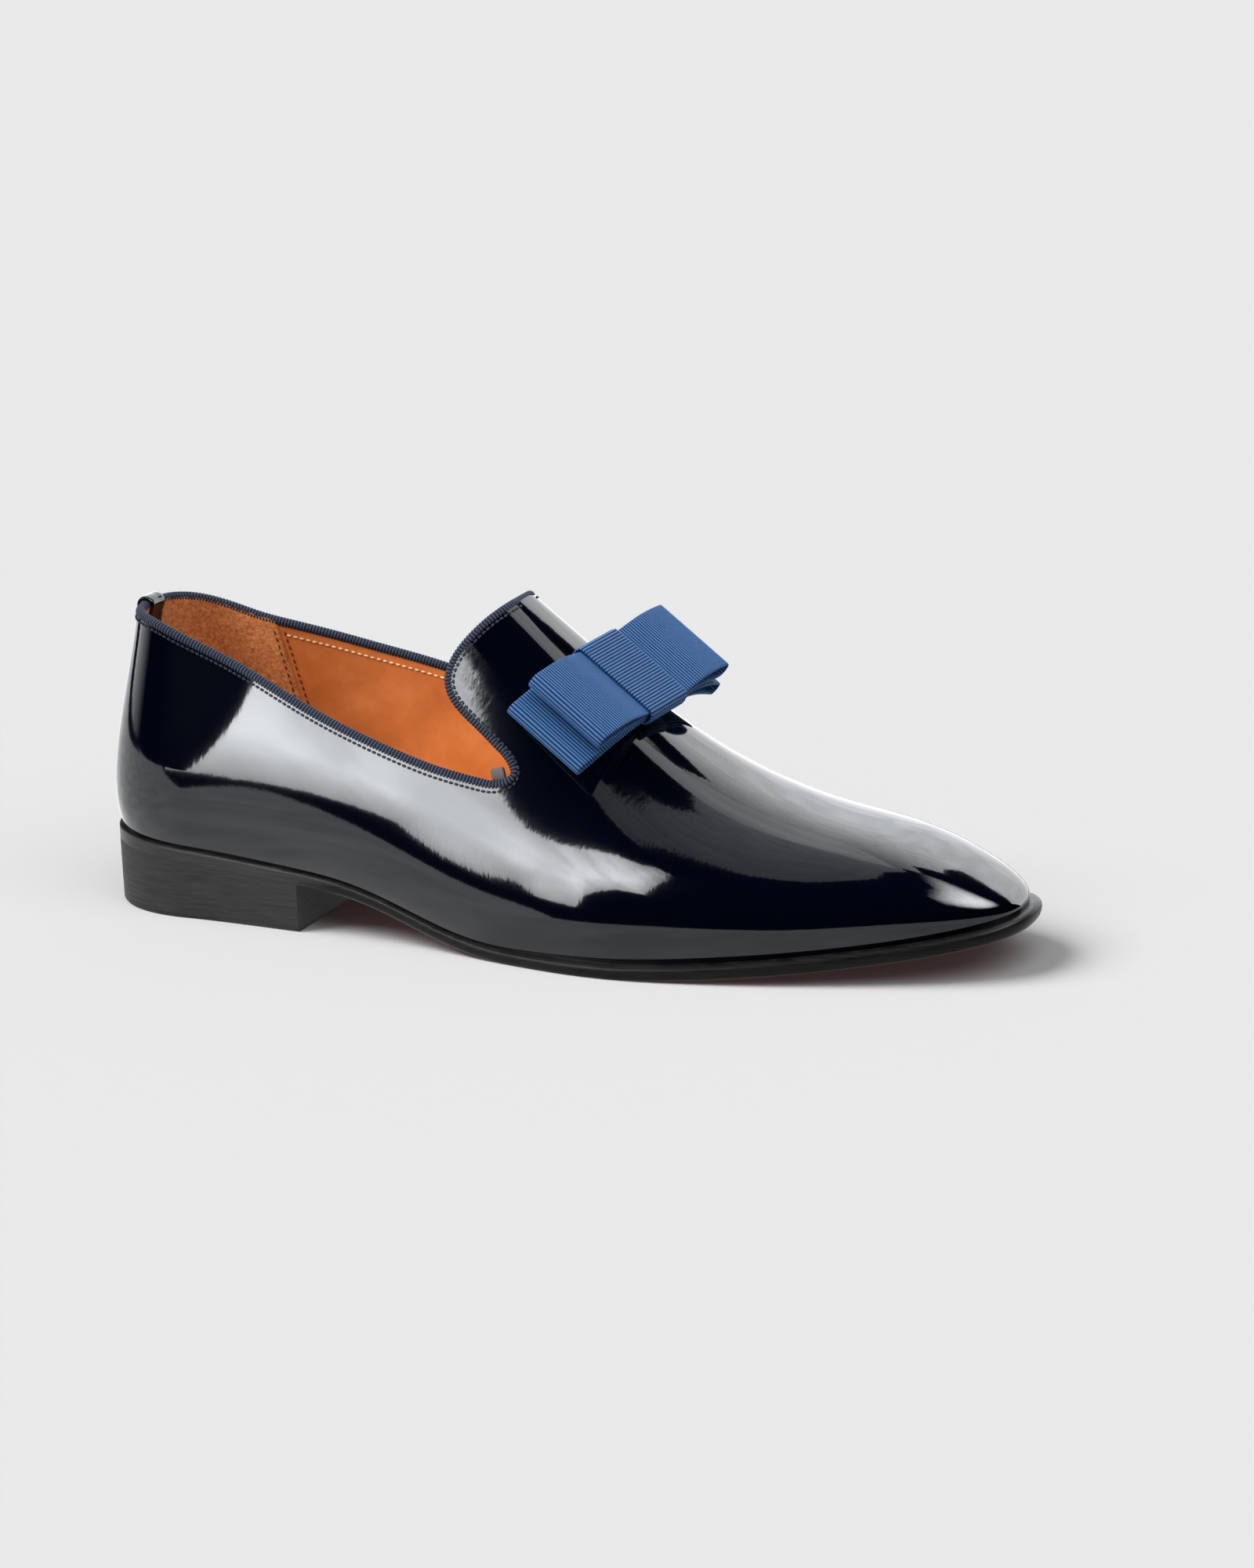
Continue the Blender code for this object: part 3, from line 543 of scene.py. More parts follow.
SOLE_STATIONS = stations(SOLE_STEP)
SOLE_PLAN = sole_ring(SOLE_STATIONS, welt, sole_bottom)
# the part's origin lies on the floor under the middle of its box; the sole gives the toe end and both sides
ORIGIN = np.array([*SOLE_PLAN[:, :2].max(0), 0.0]) - [CAD_BOX[1][0] / MM, CAD_BOX[1][1] / MM, 0.0]


def to_row(points):
    """Working frame in millimetres to the shared frame in metres."""
    return (np.asarray(points, float) - ORIGIN) * MM


def grid_faces(rows, columns, closed=False):
    """Quads between neighbouring rows of a point grid; closed joins each row's ends."""
    i, j = np.meshgrid(np.arange(rows - 1), np.arange(columns if closed else columns - 1), indexing="ij")
    k = (j + 1) % columns
    quads = np.stack([i * columns + j, i * columns + k, (i + 1) * columns + k, (i + 1) * columns + j], -1)
    return quads.reshape(-1, 4)


def ring_faces(rows, columns):
    """Quads of a point grid that is closed both ways."""
    j = np.arange(columns)
    k = (j + 1) % columns
    last = (rows - 1) * columns
    return np.vstack([grid_faces(rows, columns, closed=True), np.stack([last + j, last + k, k, j], 1)])


def new_mesh(name, points, faces, material):
    """Mesh from working-frame points."""
    mesh = bpy.data.meshes.new(name)
    mesh.from_pydata(to_row(points).tolist(), [], faces if isinstance(faces, list) else faces.tolist())
    mesh.materials.append(material)
    return mesh


def point_values(mesh, name, values):
    """A number at each point of a mesh, for its material to read."""
    layer = mesh.attributes.new(name, "FLOAT", "POINT")
    layer.data.foreach_set("value", np.asarray(values, np.float32).ravel())


def add_object(name, data):
    """Mesh, light or camera put into the scene."""
    item = bpy.data.objects.new(name, data)
    bpy.context.scene.collection.objects.link(item)
    return item


def make_piece(name, points, faces, material, nodes=(), tone_and_painted_shading_values=None, corner=None):
    """Smooth mesh piece from working-frame points, riding the shoe's one body."""
    mesh = new_mesh(name, points, faces, material)
    mesh.update()
    # values that the material turns into colour: painted shade and highlight along the ribs, and tone plus
    # a painted shadow band on the sole edge
    if tone_and_painted_shading_values is not None:
        point_values(mesh, "tone_and_painted_shading", tone_and_painted_shading_values)
    mesh.polygons.foreach_set("use_smooth", np.ones(len(mesh.polygons), bool))
    if corner:
        mesh.set_sharp_from_angle(angle=math.radians(corner))
    item = add_object(name, mesh)
    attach(item, "root")
    if nodes:
        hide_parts(*nodes)
    return item


# Materials

def new_material(name, colour, roughness, gloss=0.5):
    """Material, its node tree and its shader with plain values."""
    material = bpy.data.materials.new(name)
    material.use_nodes = True
    tree = material.node_tree
    shader = tree.nodes["Principled BSDF"]
    shader.inputs["Base Color"].default_value = (*colour, 1.0)
    shader.inputs["Roughness"].default_value = roughness
    shader.inputs["Specular IOR Level"].default_value = gloss
    return material, tree, shader


def add_node(tree, kind, values=None, links=None):
    """Node with values on some of its sockets and links into others."""
    node = tree.nodes.new(kind)
    for socket, value in (values or {}).items():
        node.inputs[socket].default_value = value
    for socket, source in (links or {}).items():
        tree.links.new(source, node.inputs[socket])
    return node


def feed(shader, socket, value):
    """Link a value into one of the shader's sockets."""
    shader.id_data.links.new(value, shader.inputs[socket])


def object_coordinates(tree, scale=(1.0, 1.0, 1.0)):
    place = tree.nodes.new("ShaderNodeTexCoord").outputs["Object"]
    return add_node(tree, "ShaderNodeMapping", {"Scale": scale}, {"Vector": place}).outputs["Vector"]


def noise(tree, vector, size_mm, detail=2.0, roughness=0.5):
    """Noise whose features are about size_mm across."""
    values = {"Scale": 1 / MM / size_mm, "Detail": detail, "Roughness": roughness}
    return add_node(tree, "ShaderNodeTexNoise", values, {"Vector": vector}).outputs["Fac"]


def cells(tree, vector, size_mm):
    """Distance to the borders of cells about size_mm across."""
    node = add_node(tree, "ShaderNodeTexVoronoi", {"Scale": 1 / MM / size_mm}, {"Vector": vector})
    node.feature = "DISTANCE_TO_EDGE"
    return node.outputs["Distance"]


def ramp(tree, value, stops):
    """Colour for a value from 0 to 1, by stops of place and colour."""
    node = add_node(tree, "ShaderNodeValToRGB", links={"Fac": value})
    points = node.color_ramp.elements
    while len(points) < len(stops):
        points.new(0.5)
    for point, (place, colour) in zip(points, stops):
        point.position = place
        point.color = (*colour, 1.0)
    return node.outputs["Color"]


def spread(tree, value, low, high):
    """Value from 0..1 to low..high."""
    values = {"To Min": low, "To Max": high}
    return add_node(tree, "ShaderNodeMapRange", values, {"Value": value}).outputs["Result"]


def mix_colours(tree, a, b, blend="MIX"):
    """Node that mixes two colours; its factor is set by the caller."""
    node = tree.nodes.new("ShaderNodeMix")
    node.data_type = "RGBA"
    node.blend_type = blend
    tree.links.new(a, node.inputs["A"])
    tree.links.new(b, node.inputs["B"])
    return node


def bump(tree, shader, *layers):
    """Bump layers, each (height value, depth in mm), one on another."""
    links = {}
    for value, depth in layers:
        links["Height"] = value
        node = add_node(tree, "ShaderNodeBump", {"Strength": 1.0, "Distance": depth * MM}, links)
        links["Normal"] = node.outputs["Normal"]
    feed(shader, "Normal", links["Normal"])


def attribute(tree, name):
    """Number that the mesh has at its points."""
    node = tree.nodes.new("ShaderNodeAttribute")
    node.attribute_name = name
    return node.outputs["Fac"]


def add_sheen(shader, weight, roughness, tint):
    shader.inputs["Sheen Weight"].default_value = weight
    shader.inputs["Sheen Roughness"].default_value = roughness
    shader.inputs["Sheen Tint"].default_value = (*tint, 1.0)


def patent_material():
    """Lacquered leather: almost black blue, mirror gloss, faint waves in the lacquer."""
    material, tree, shader = new_material("patent_leather_look", (0.0004, 0.0010, 0.0038), 0.05)
    place = object_coordinates(tree)
    fine = noise(tree, object_coordinates(tree, (1.0, 1.0, 0.45)), 1.3, 1.0)
    broad = noise(tree, place, 9.0, 1.0)
    feed(shader, "Roughness", spread(tree, noise(tree, place, 0.35), 0.035, 0.085))
    bump(tree, shader, (broad, 0.020), (fine, 0.007))
    return material


def lining_material():
    """Smooth tan calf with fine pores and soft colour clouds."""
    material, tree, shader = new_material("lining_leather_look", (0.68, 0.21, 0.055), 0.45, 0.25)
    place = object_coordinates(tree)
    clouds = noise(tree, place, 16.0, 4.0, 0.6)
    feed(shader, "Base Color", ramp(tree, clouds, LINING_TONES))
    feed(shader, "Roughness", spread(tree, clouds, 0.36, 0.5))
    pores = (cells(tree, place, 0.9), 0.035)
    waves = (noise(tree, place, 3.5, 3.0), 0.12)
    grain = (noise(tree, place, 0.3), 0.012)
    bump(tree, shader, pores, waves, grain)
    return material


def suede_material():
    """Brushed tan suede: short nap, mottled light and dark."""
    material, tree, shader = new_material("suede_look", (0.75, 0.27, 0.09), 0.95, 0.1)
    place = object_coordinates(tree)
    nap = noise(tree, place, 1.2, 5.0, 0.75)
    feed(shader, "Base Color", ramp(tree, nap, SUEDE_TONES))
    add_sheen(shader, 0.35, 0.5, (0.9, 0.55, 0.3))
    bump(tree, shader, (nap, 0.55), (noise(tree, place, 5.0), 0.5))
    return material


def grosgrain_material(name, groove_painted_shade, flank, ridge):
    """Corded ribbon: the mesh has the ribs, and the tone_and_painted_shading attribute runs from groove to
    ridge, painting shade into the grooves and highlight onto the ridges.
    """
    material, tree, shader = new_material(name, flank, 0.6, 0.12)
    threads = noise(tree, object_coordinates(tree), 0.35, 3.0, 0.7)
    # painted shade in the grooves and painted highlight on the ridges, by rib height
    tone = ramp(tree, attribute(tree, "tone_and_painted_shading"), [(0.05, groove_painted_shade), (0.45, flank), (0.95, ridge)])
    mix = mix_colours(tree, tone, ramp(tree, threads, WEAVE_TONES), "MULTIPLY")
    mix.inputs["Factor"].default_value = 0.5
    feed(shader, "Base Color", mix.outputs["Result"])
    add_sheen(shader, 0.02, 0.4, [min(1.0, 2.5 * c) for c in ridge])
    bump(tree, shader, (threads, 0.06))
    return material


def edge_material():
    """Inked sole edge with faint brush lines along it: black, as light as the heel where
    tone_and_painted_shading is 0; the black band along its top under the upper is painted shadow.
    """
    material, tree, shader = new_material("sole_edge_look", (0.003, 0.003, 0.003), 0.3, 0.1)
    along = noise(tree, object_coordinates(tree, (0.05, 0.05, 1.0)), 0.5, 3.0)
    grain = noise(tree, object_coordinates(tree), 0.8, 4.0)
    feed(shader, "Roughness", spread(tree, grain, 0.22, 0.5))
    tone = mix_colours(tree, ramp(tree, along, HEEL_TONES), ramp(tree, along, EDGE_TONES))
    # heel tone at 0, black at 1: the inked edge's tone in front of the waist, and painted shadow in the top
    # rows all round
    tree.links.new(attribute(tree, "tone_and_painted_shading"), tone.inputs["Factor"])
    feed(shader, "Base Color", tone.outputs["Result"])
    bump(tree, shader, (along, 0.03), (grain, 0.03))
    return material


def heel_material():
    """Inked heel stack, matte, with fine level scratches."""
    material, tree, shader = new_material("heel_stack_look", (0.02, 0.02, 0.02), 0.6, 0.06)
    lines = noise(tree, object_coordinates(tree, (0.03, 0.03, 1.0)), 0.45, 4.0, 0.6)
    grain = noise(tree, object_coordinates(tree), 1.0, 4.0)
    feed(shader, "Base Color", ramp(tree, lines, HEEL_TONES))
    feed(shader, "Roughness", spread(tree, grain, 0.5, 0.7))
    bump(tree, shader, (lines, 0.05), (grain, 0.03))
    return material


def tread_material():
    """Stained sole leather, matte, with pores and a little scuffing."""
    material, tree, shader = new_material("sole_leather_look", (0.11, 0.018, 0.016), 0.6)
    place = object_coordinates(tree)
    clouds = noise(tree, place, 14.0, 5.0, 0.6)
    feed(shader, "Base Color", ramp(tree, clouds, TREAD_TONES))
    feed(shader, "Roughness", spread(tree, clouds, 0.45, 0.7))
    bump(tree, shader, (cells(tree, place, 0.7), 0.03), (noise(tree, place, 0.4, 3.0), 0.03))
    return material


def rubber_material():
    """Black rubber top lift under the heel, finely pebbled."""
    material, tree, shader = new_material("heel_rubber_look", (0.018, 0.018, 0.018), 0.75)
    place = object_coordinates(tree)
    feed(shader, "Base Color", ramp(tree, noise(tree, place, 6.0, 4.0), RUBBER_TONES))
    bump(tree, shader, (noise(tree, place, 0.7, 3.0), 0.08))
    return material


def thread_material(name, light, dark):
    material, tree, shader = new_material(name, light, 0.7)
    twist = noise(tree, object_coordinates(tree), 0.35, 2.0)
    feed(shader, "Base Color", ramp(tree, twist, [(0.3, dark), (0.6, light)]))
    bump(tree, shader, (twist, 0.08))
    return material


# Upper and lining

def in_opening(points, side):
    """Which points lie in the collar and throat opening, seen from the side."""
    profile = topline_profile(side)
    behind = profile[0, 0] - OPENING_BACK
    over = [[profile[-1, 0], OPENING_ROOF], [behind, OPENING_ROOF], [behind, profile[0, 1]]]
    ring = np.vstack([profile, over])
    inside = np.zeros(len(points), bool)
    x, z = points[:, 0], points[:, 2]
    for (xa, za), (xb, zb) in zip(ring, np.roll(ring, -1, axis=0)):
        crosses = (za > z) != (zb > z)
        if za != zb:
            inside ^= crosses & (x < xa + (z - za) * (xb - xa) / (zb - za))
    return inside


def opening_depth(points, side):
    """How far points lie inside the collar and throat opening in side view, below zero outside it."""
    profile = topline_profile(side)
    a, b = profile[:-1], profile[1:]
    place = points[:, None, [0, 2]] - a[None]
    share = np.clip((place * (b - a)).sum(2) / ((b - a) ** 2).sum(1), 0, 1)
    near = np.linalg.norm(place - share[:, :, None] * (b - a), axis=2).min(1)
    return np.where(in_opening(points, side), near, -near)


def trimmed_shell(us, t, offset):
    """Both sides of the last's surface, cut along the topline."""
    order = [(u, -1) for u in us[::-1]] + [(u, 1) for u in us[1:]]
    points = np.vstack([surface(u, side, t, offset) for u, side in order])
    sides = np.repeat([side for _, side in order], len(t))
    faces = grid_faces(len(order), len(t))
    opening = np.zeros(len(points), bool)
    for side in (-1, 1):
        mine = sides == side
        opening[mine] = in_opening(points[mine], side)
    count = opening[faces].sum(1)
    crossed = faces[(count > 0) & (count < 4)]
    depth = np.zeros(len(points))
    rim = np.unique(crossed)
    for side in (-1, 1):
        mine = rim[sides[rim] == side]
        depth[mine] = opening_depth(points[mine], side)
    kept = faces[count == 0].tolist()
    added, places = {}, []
    for face in crossed:
        outline_left = []
        for p, q in zip(face, np.roll(face, -1)):
            if depth[p] <= 0:
                outline_left.append(int(p))
            if (depth[p] <= 0) != (depth[q] <= 0):
                key = (min(p, q), max(p, q))
                if key not in added:
                    share = depth[p] / (depth[p] - depth[q])
                    added[key] = len(points) + len(places)
                    places.append(points[p] + share * (points[q] - points[p]))
                outline_left.append(added[key])
        if len(outline_left) > 2:
            kept.append(outline_left)
    points = np.vstack([points, places])
    used = np.unique(np.concatenate([np.asarray(face) for face in kept]))
    renumber = np.zeros(len(points), int)
    renumber[used] = np.arange(len(used))
    return points[used], [renumber[face].tolist() for face in kept]


def make_upper(material):
    """Glossy outer skin of the upper."""
    points, faces = trimmed_shell(stations(SHELL_STEP), np.linspace(0, 1, SHELL_LEVELS), 0.0)
    faces = [face[::-1] for face in faces]
    make_piece("upper_patent", points, faces, material, ["upper"])


def make_feather_roll(material):
    """Lasting margin: the upper's lower edge drawn in over the sole."""
    rows = []
    for inset, drop in LASTING_EDGE:
        rows.append(sole_ring(SOLE_STATIONS, lambda x: 0 * x - inset, lambda x: feather_height(x) - drop))
    faces = grid_faces(len(rows), len(rows[0]), closed=True)
    make_piece("upper_lasting_edge", np.vstack(rows), faces, material)


def make_lining(material):
    """Tan leather inside the upper, cut along the same topline."""
    us = stations(LINING_STEP)
    us = us[us < FEATHER_LENGTH - LINING_SHORT]
    points, faces = trimmed_shell(us, np.linspace(0.01, 0.999, SHELL_LEVELS), -WALL)
    make_piece("lining", points, faces, material)


def collar_line(side):
    """Side view of the topline from the heel to its lowest point."""
    profile = topline_profile(side)
    return profile[:profile[:, 1].argmin()]


def wall_row(side, drop, offset, xs):
    """Points on the inner wall at a distance below the topline's side view, at the given x."""
    collar = collar_line(side)
    row = []
    for x in xs:
        points = surface(x, side, WALL_LEVELS, offset)
        z = np.interp(points[:, 0].mean(), collar[:, 0], collar[:, 1]) - drop
        row.append(interpolate(z, points[:, 2], points))
    return np.array(row)


def seam_x(share):
    """Front edge of the suede heel lining, from the topline at 0 to the insole at 1."""
    return SEAM_X[0] + (SEAM_X[1] - SEAM_X[0]) * share


def heel_lining_rib(side, v, offset, shares):
    """Points down the suede heel lining; v is 0 at the back and 1 at the seam."""
    collar = collar_line(side)
    row = []
    for share in shares:
        points = surface(v * seam_x(share), side, SUEDE_LEVELS, offset)
        place = points[np.argmax(points[:, 2] > np.interp(points[:, 0], collar[:, 0], collar[:, 1]))]
        floor = feather_height(place[0]) + INSOLE_THICK
        z = place[2] + (floor - place[2]) * share
        row.append(interpolate(z, points[:, 2], points))
    return np.array(row)


def make_heel_lining(suede, thread):
    """Suede round the inside of the heel, with dark stitches on both sides of its front edge."""
    shares = np.linspace(0.0, 1.0, SUEDE["down"])
    vs = np.linspace(0, 1, SUEDE["round"])
    lift = -WALL - SUEDE["lift"]
    ribs = [heel_lining_rib(-1, v, lift, shares) for v in vs[::-1]]
    ribs += [heel_lining_rib(1, v, lift, shares) for v in vs[1:]]
    edges = [heel_lining_rib(side, 1.0, SUEDE["tuck"] - WALL, shares) for side in (-1, 1)]
    points = np.vstack([edges[0], *ribs, edges[1]])
    faces = grid_faces(len(ribs) + 2, len(shares))
    make_piece("heel_lining_suede", points, faces, suede)
    for name, side in SIDES:
        paths = []
        for v in SEAM_ROWS:
            base = lift if v < 1 else -WALL
            paths.append(heel_lining_rib(side, v, base - THREAD_LIFT, shares[2:]))
        make_stitches("heel_seam_stitches_" + name, paths, thread, "lining_leather", **SEAM_STITCH)


def make_stitches(name, paths, material, slot, pitch, length, radius):
    """Short thread capsules along paths."""
    sides, rings = STITCH_SHAPE["sides"], STITCH_SHAPE["rings"]
    points, faces = [], []
    for path in paths:
        even = resample(path, int(path_length(path)[-1] / pitch) + 1)
        for a, b in zip(even[:-1], even[1:]):
            run = (b - a) / np.linalg.norm(b - a)
            side = np.cross(run, OFF_ROW)
            side /= np.linalg.norm(side)
            other = np.cross(run, side)
            base = len(points)
            for s in np.linspace(-1, 1, rings):
                middle = (a + b) / 2 + s * length / 2 * run
                thick = radius * math.sqrt(max(STITCH_SHAPE["end"], 1 - abs(s) ** STITCH_SHAPE["power"]))
                for angle in np.linspace(0, 2 * math.pi, sides, endpoint=False):
                    points.append(middle + thick * (math.cos(angle) * side + math.sin(angle) * other))
            faces += (grid_faces(rings, sides, closed=True) + base).tolist()
            faces.append(list(range(base, base + sides))[::-1])
            faces.append(list(range(base + (rings - 1) * sides, base + rings * sides)))
    make_piece(name, np.array(points), faces, material)


def make_lining_stitches(thread):
    """Cream row a little below the binding, from the heel lining's seam to the throat, on both sides."""
    size = CREAM_ROW
    xs = np.arange(SEAM_X[0] + size["after"], size["end"], size["step"])
    for name, side in SIDES:
        row = wall_row(side, BINDING_RADIUS + size["drop"], -WALL - size["lift"], xs)
        make_stitches("topline_stitches_" + name, [row], thread, "lining_leather", **LINING_STITCH)


# Binding and back strip

def frames_along(path):
    """Two cross directions at each point of a closed path, without twist between neighbours."""
    nearly_upright = 0.05
    run = unit(np.roll(path, -1, axis=0) - np.roll(path, 1, axis=0))
    side = np.cross(run, [0.0, 0.0, 1.0])
    side[np.linalg.norm(side, axis=1) < nearly_upright] = [0.0, 1.0, 0.0]
    for i in range(1, len(side)):
        if side[i] @ side[i - 1] < 0:
            side[i] = -side[i]
    side = unit(side - (side * run).sum(1)[:, None] * run)
    return side, np.cross(run, side)


def ribbed_path(loop, pitch, steps):
    """Even points round a closed loop with a whole number of ribs, and the ribs' height there, 0 to 1."""
    loop = np.vstack([loop, loop[:1]])
    count = int(round(path_length(loop)[-1] / pitch)) * steps
    path = resample(loop, count + 1)[:-1]
    return path, np.abs(np.sin(math.pi * np.arange(count) / steps))


def make_binding(material):
    """Corded ribbon rolled over the topline: a closed tube with real ribs."""
    size = BINDING_RIB
    loop = np.vstack([topline_half(-1, -WALL / 2), topline_half(1, -WALL / 2)[::-1]])
    path, height = ribbed_path(loop, size["pitch"], size["steps"])
    height = height ** size["power"]
    side, other = frames_along(path)
    radius = (BINDING_RADIUS - size["inside"] - size["depth"] * (1 - height))[:, None]
    rings = []
    for angle in np.linspace(0, 2 * math.pi, size["sides"], endpoint=False):
        rings.append(path + radius * (math.cos(angle) * side + math.sin(angle) * other))
    points = np.stack(rings, 1).reshape(-1, 3)
    faces = ring_faces(len(path), size["sides"])
    # rib height, which the material turns into painted shade in the grooves and painted highlight on the
    # ridges
    tone_and_painted_shading_values = np.repeat(height, size["sides"])
    name = "topline_binding_ribbed"
    make_piece(name, points, faces, material, ["topline_binding"], tone_and_painted_shading_values)


def make_binding_stitches(thread):
    """Dark thread along the binding's outer edge, where it is sewn to the upper."""
    for name, side in SIDES:
        path = topline_half(side, THREAD_LIFT, BINDING_RADIUS)[2:]
        make_stitches("binding_stitches_" + name, [path], thread, "grosgrain_dark", **BINDING_STITCH)


def make_throat_tab(material):
    """Folded end of the binding, a small soft block inside the lateral throat corner."""
    size = THROAT_TAB
    round_count, tip_count = size["mesh"]
    turns = np.linspace(0, 2 * math.pi, round_count, endpoint=False)
    lean = math.radians(size["lean"])

    def soft(value):
        return np.sign(value) * np.abs(value) ** size["square"]

    rows = []
    for tip in np.linspace(-math.pi / 2, math.pi / 2, tip_count):
        x = soft(np.cos(turns)) * soft(math.cos(tip)) * size["half"][0]
        y = soft(np.sin(turns)) * soft(math.cos(tip)) * size["half"][1]
        z = 0 * turns + soft(math.sin(tip)) * size["half"][2]
        along = x * math.cos(lean) - z * math.sin(lean)
        up = x * math.sin(lean) + z * math.cos(lean)
        rows.append(np.stack([along, y, up], 1))
    faces = grid_faces(len(rows), len(turns), closed=True)
    make_piece("binding_end_tab", np.vstack(rows) + size["place"], faces, material)


def make_back_stay(material):
    """Strip up the back seam, over the binding and a little way down inside."""
    size, mesh = BACK_STAY, BACK_STAY_MESH
    lift = size["lift"]
    us = np.linspace(0, HEEL_CENTRE, COLLAR_HEEL_STEPS)[:-1]
    halves = {side: topline_half(side, -WALL / 2)[:len(us)] for side in (-1, 1)}
    half = np.array([0.5])
    columns = []
    for v in np.linspace(-1, 1, mesh["across"]):
        u, side = abs(v) * size["half_width"], -1 if v < 0 else 1
        middle = interpolate(u, us, halves[side])
        thick = size["thick"] * (1 - BACK_STAY_EDGE["thinner"] * abs(v) ** BACK_STAY_EDGE["power"])
        outer = surface(u, side, RIB_LEVELS, lift + thick)
        inner = surface(u, side, RIB_LEVELS, -WALL - lift - thick)
        top = middle[2] - size["clear"]
        low = middle[2] - size["length"] * (1 - size["rounding"] * v ** 2)
        up = interpolate(np.linspace(low, top, mesh["up"]), outer[:, 2], outer)
        away = surface(u, side, half, 1.0)[0] - surface(u, side, half)[0]
        away[2] = 0
        away /= np.linalg.norm(away)
        arc = []
        for angle in np.radians(np.linspace(*size["fold"], mesh["fold"])):
            turn = math.cos(angle) * away + math.sin(angle) * np.array([0, 0, 1])
            arc.append(middle + (BINDING_RADIUS + lift + thick) * turn)
        fall = np.linspace(top, middle[2] - size["inside"], mesh["down"])
        columns.append(np.vstack([up, arc, interpolate(fall, inner[:, 2], inner)]))
    points = np.vstack(columns)
    faces = grid_faces(len(columns), len(columns[0]))
    item = make_piece("back_stay_patent", points, faces, material, ["back_stay"])
    wall = item.modifiers.new("wall", "SOLIDIFY")
    wall.thickness = size["thick"] * MM
    wall.offset = -1.0


# Bow

def bow_frame():
    """Bow's origin on the ridge and its axes: down the instep, to the medial side, away from the shoe."""
    slope, turn, tilt = [math.radians(BOW[k]) for k in ("slope", "turn", "tilt")]
    down = np.array([math.cos(slope) * math.cos(turn), -math.cos(slope) * math.sin(turn), -math.sin(slope)])
    across = np.array([math.sin(turn), math.cos(turn), 0.0])
    away = np.cross(down, across)
    across = across * math.cos(tilt) + away * math.sin(tilt)
    away = np.cross(down, across)
    origin = rib(BOW["x"], 1, np.array([1.0]))[0] - BOW["aside"] * across
    return origin, down, across, away


def bow_lift():
    """Height of the bow's plane that keeps the band's underside clear of the instep."""
    origin, down, across, away = bow_frame()
    margin = 1.0
    reach = BOW["width"] / 2 + BOW["slack"] + 2 * margin
    half_band = BOW["band_width"] / 2 + margin
    upper_half = np.linspace(0.5, 1, 60)
    highest = 0.0
    for u in np.linspace(BOW["x"] - BOW["width"], BOW["x"] + BOW["width"], 61):
        for side in (-1, 1):
            local = rib(u, side, upper_half) - origin
            inside = (abs(local @ down) < reach) & (abs(local @ across) < half_band)
            if inside.any():
                highest = max(highest, (local @ away)[inside].max())
    return highest + GAP


def loop_profile(table, steps=60):
    """Closed outline of a bow loop: two layers that part towards rounded folds at both ends."""
    reach = table[-1][0]
    middle = column(table, 1, 0.0)
    opening = column(table, 2, 0.0)
    fold = table[-1][2]
    a = np.linspace(0, reach - fold, steps)
    turn = np.linspace(math.pi / 2, -math.pi / 2, 30)[1:-1]
    top = np.column_stack([a, middle(a) + opening(a)])
    low = np.column_stack([a, middle(a) - opening(a)])[::-1]
    end = np.column_stack([fold * np.cos(turn), opening(reach - fold) * np.sin(turn)])
    end += [reach - fold, middle(reach - fold)]
    right = np.vstack([top, end, low])
    left = right[::-1] * [-1, 1]
    return np.vstack([right[:-1], left[:-1]])


def ribbed_ribbon(name, loop, run, rise, along, half, origin, material, node):
    """Ribbon bent into a closed loop, with ribs across its length and thin selvages."""
    size = BOW_RIB
    path, height = ribbed_path(loop, size["pitch"], size["steps"])
    step = unit(np.roll(path, -1, axis=0) - np.roll(path, 1, axis=0))
    area = np.sum(path[:, 0] * np.roll(path[:, 1], -1) - np.roll(path[:, 0], -1) * path[:, 1])
    normal = np.stack([step[:, 1], -step[:, 0]], 1) * np.sign(area)
    out = normal * (BOW["thick"] / 2 - size["depth"] * (1 - height))[:, None]
    rows = []
    for face in (1, -1):
        for place, share in RIBBON_ACROSS[::face]:
            flat = path + face * share * out
            rows.append(origin + place * half * along + flat[:, :1] * run + flat[:, 1:] * rise)
    faces = ring_faces(len(rows), len(path))
    # rib height, which the material turns into painted shade in the grooves and painted highlight on the
    # ridges
    tone_and_painted_shading_values = np.tile(height, len(rows))
    make_piece(name, np.vstack(rows), faces, material, [node], tone_and_painted_shading_values)


def make_bow(material):
    """Two flat loops, one on the other, and the band round their middle."""
    origin, down, across, away = bow_frame()
    band_under = bow_lift() + BOW["thick"] / 2
    layer = BOW["thick"] + GAP
    base = origin + away * (band_under + layer)
    half = BOW["width"] / 2
    for node, table in (("bow_lower_loop", LOWER_LOOP), ("bow_upper_loop", UPPER_LOOP)):
        ribbed_ribbon(node + "_ribbed", loop_profile(table), across, away, down, half, base, material, node)
    top = UPPER_LOOP[0][1] + UPPER_LOOP[0][2] + layer
    radius = (top + layer) / 2
    reach = half + BOW["thick"] / 2 + GAP
    turn = np.linspace(math.pi / 2, -math.pi / 2, 40)
    flat = BOW["flat"] * radius
    front = np.column_stack([reach + BOW["slack"] - flat + flat * np.cos(turn), radius * np.sin(turn)])
    band = np.vstack([front, front[::-1] * [-1, 1]]) + [0, radius - layer]
    half_band = BOW["band_width"] / 2
    ribbed_ribbon("bow_band_ribbed", band, down, away, across, half_band, base, material, "bow_band")


# Sole, heel and insole

def fan_cap(base, count):
    """Quads that close a ring made of a lateral run and the medial run back."""
    n = count // 2
    i = np.arange(n - 1)
    return np.stack([base + i, base + i + 1, base + count - 2 - i, base + count - 1 - i], 1)


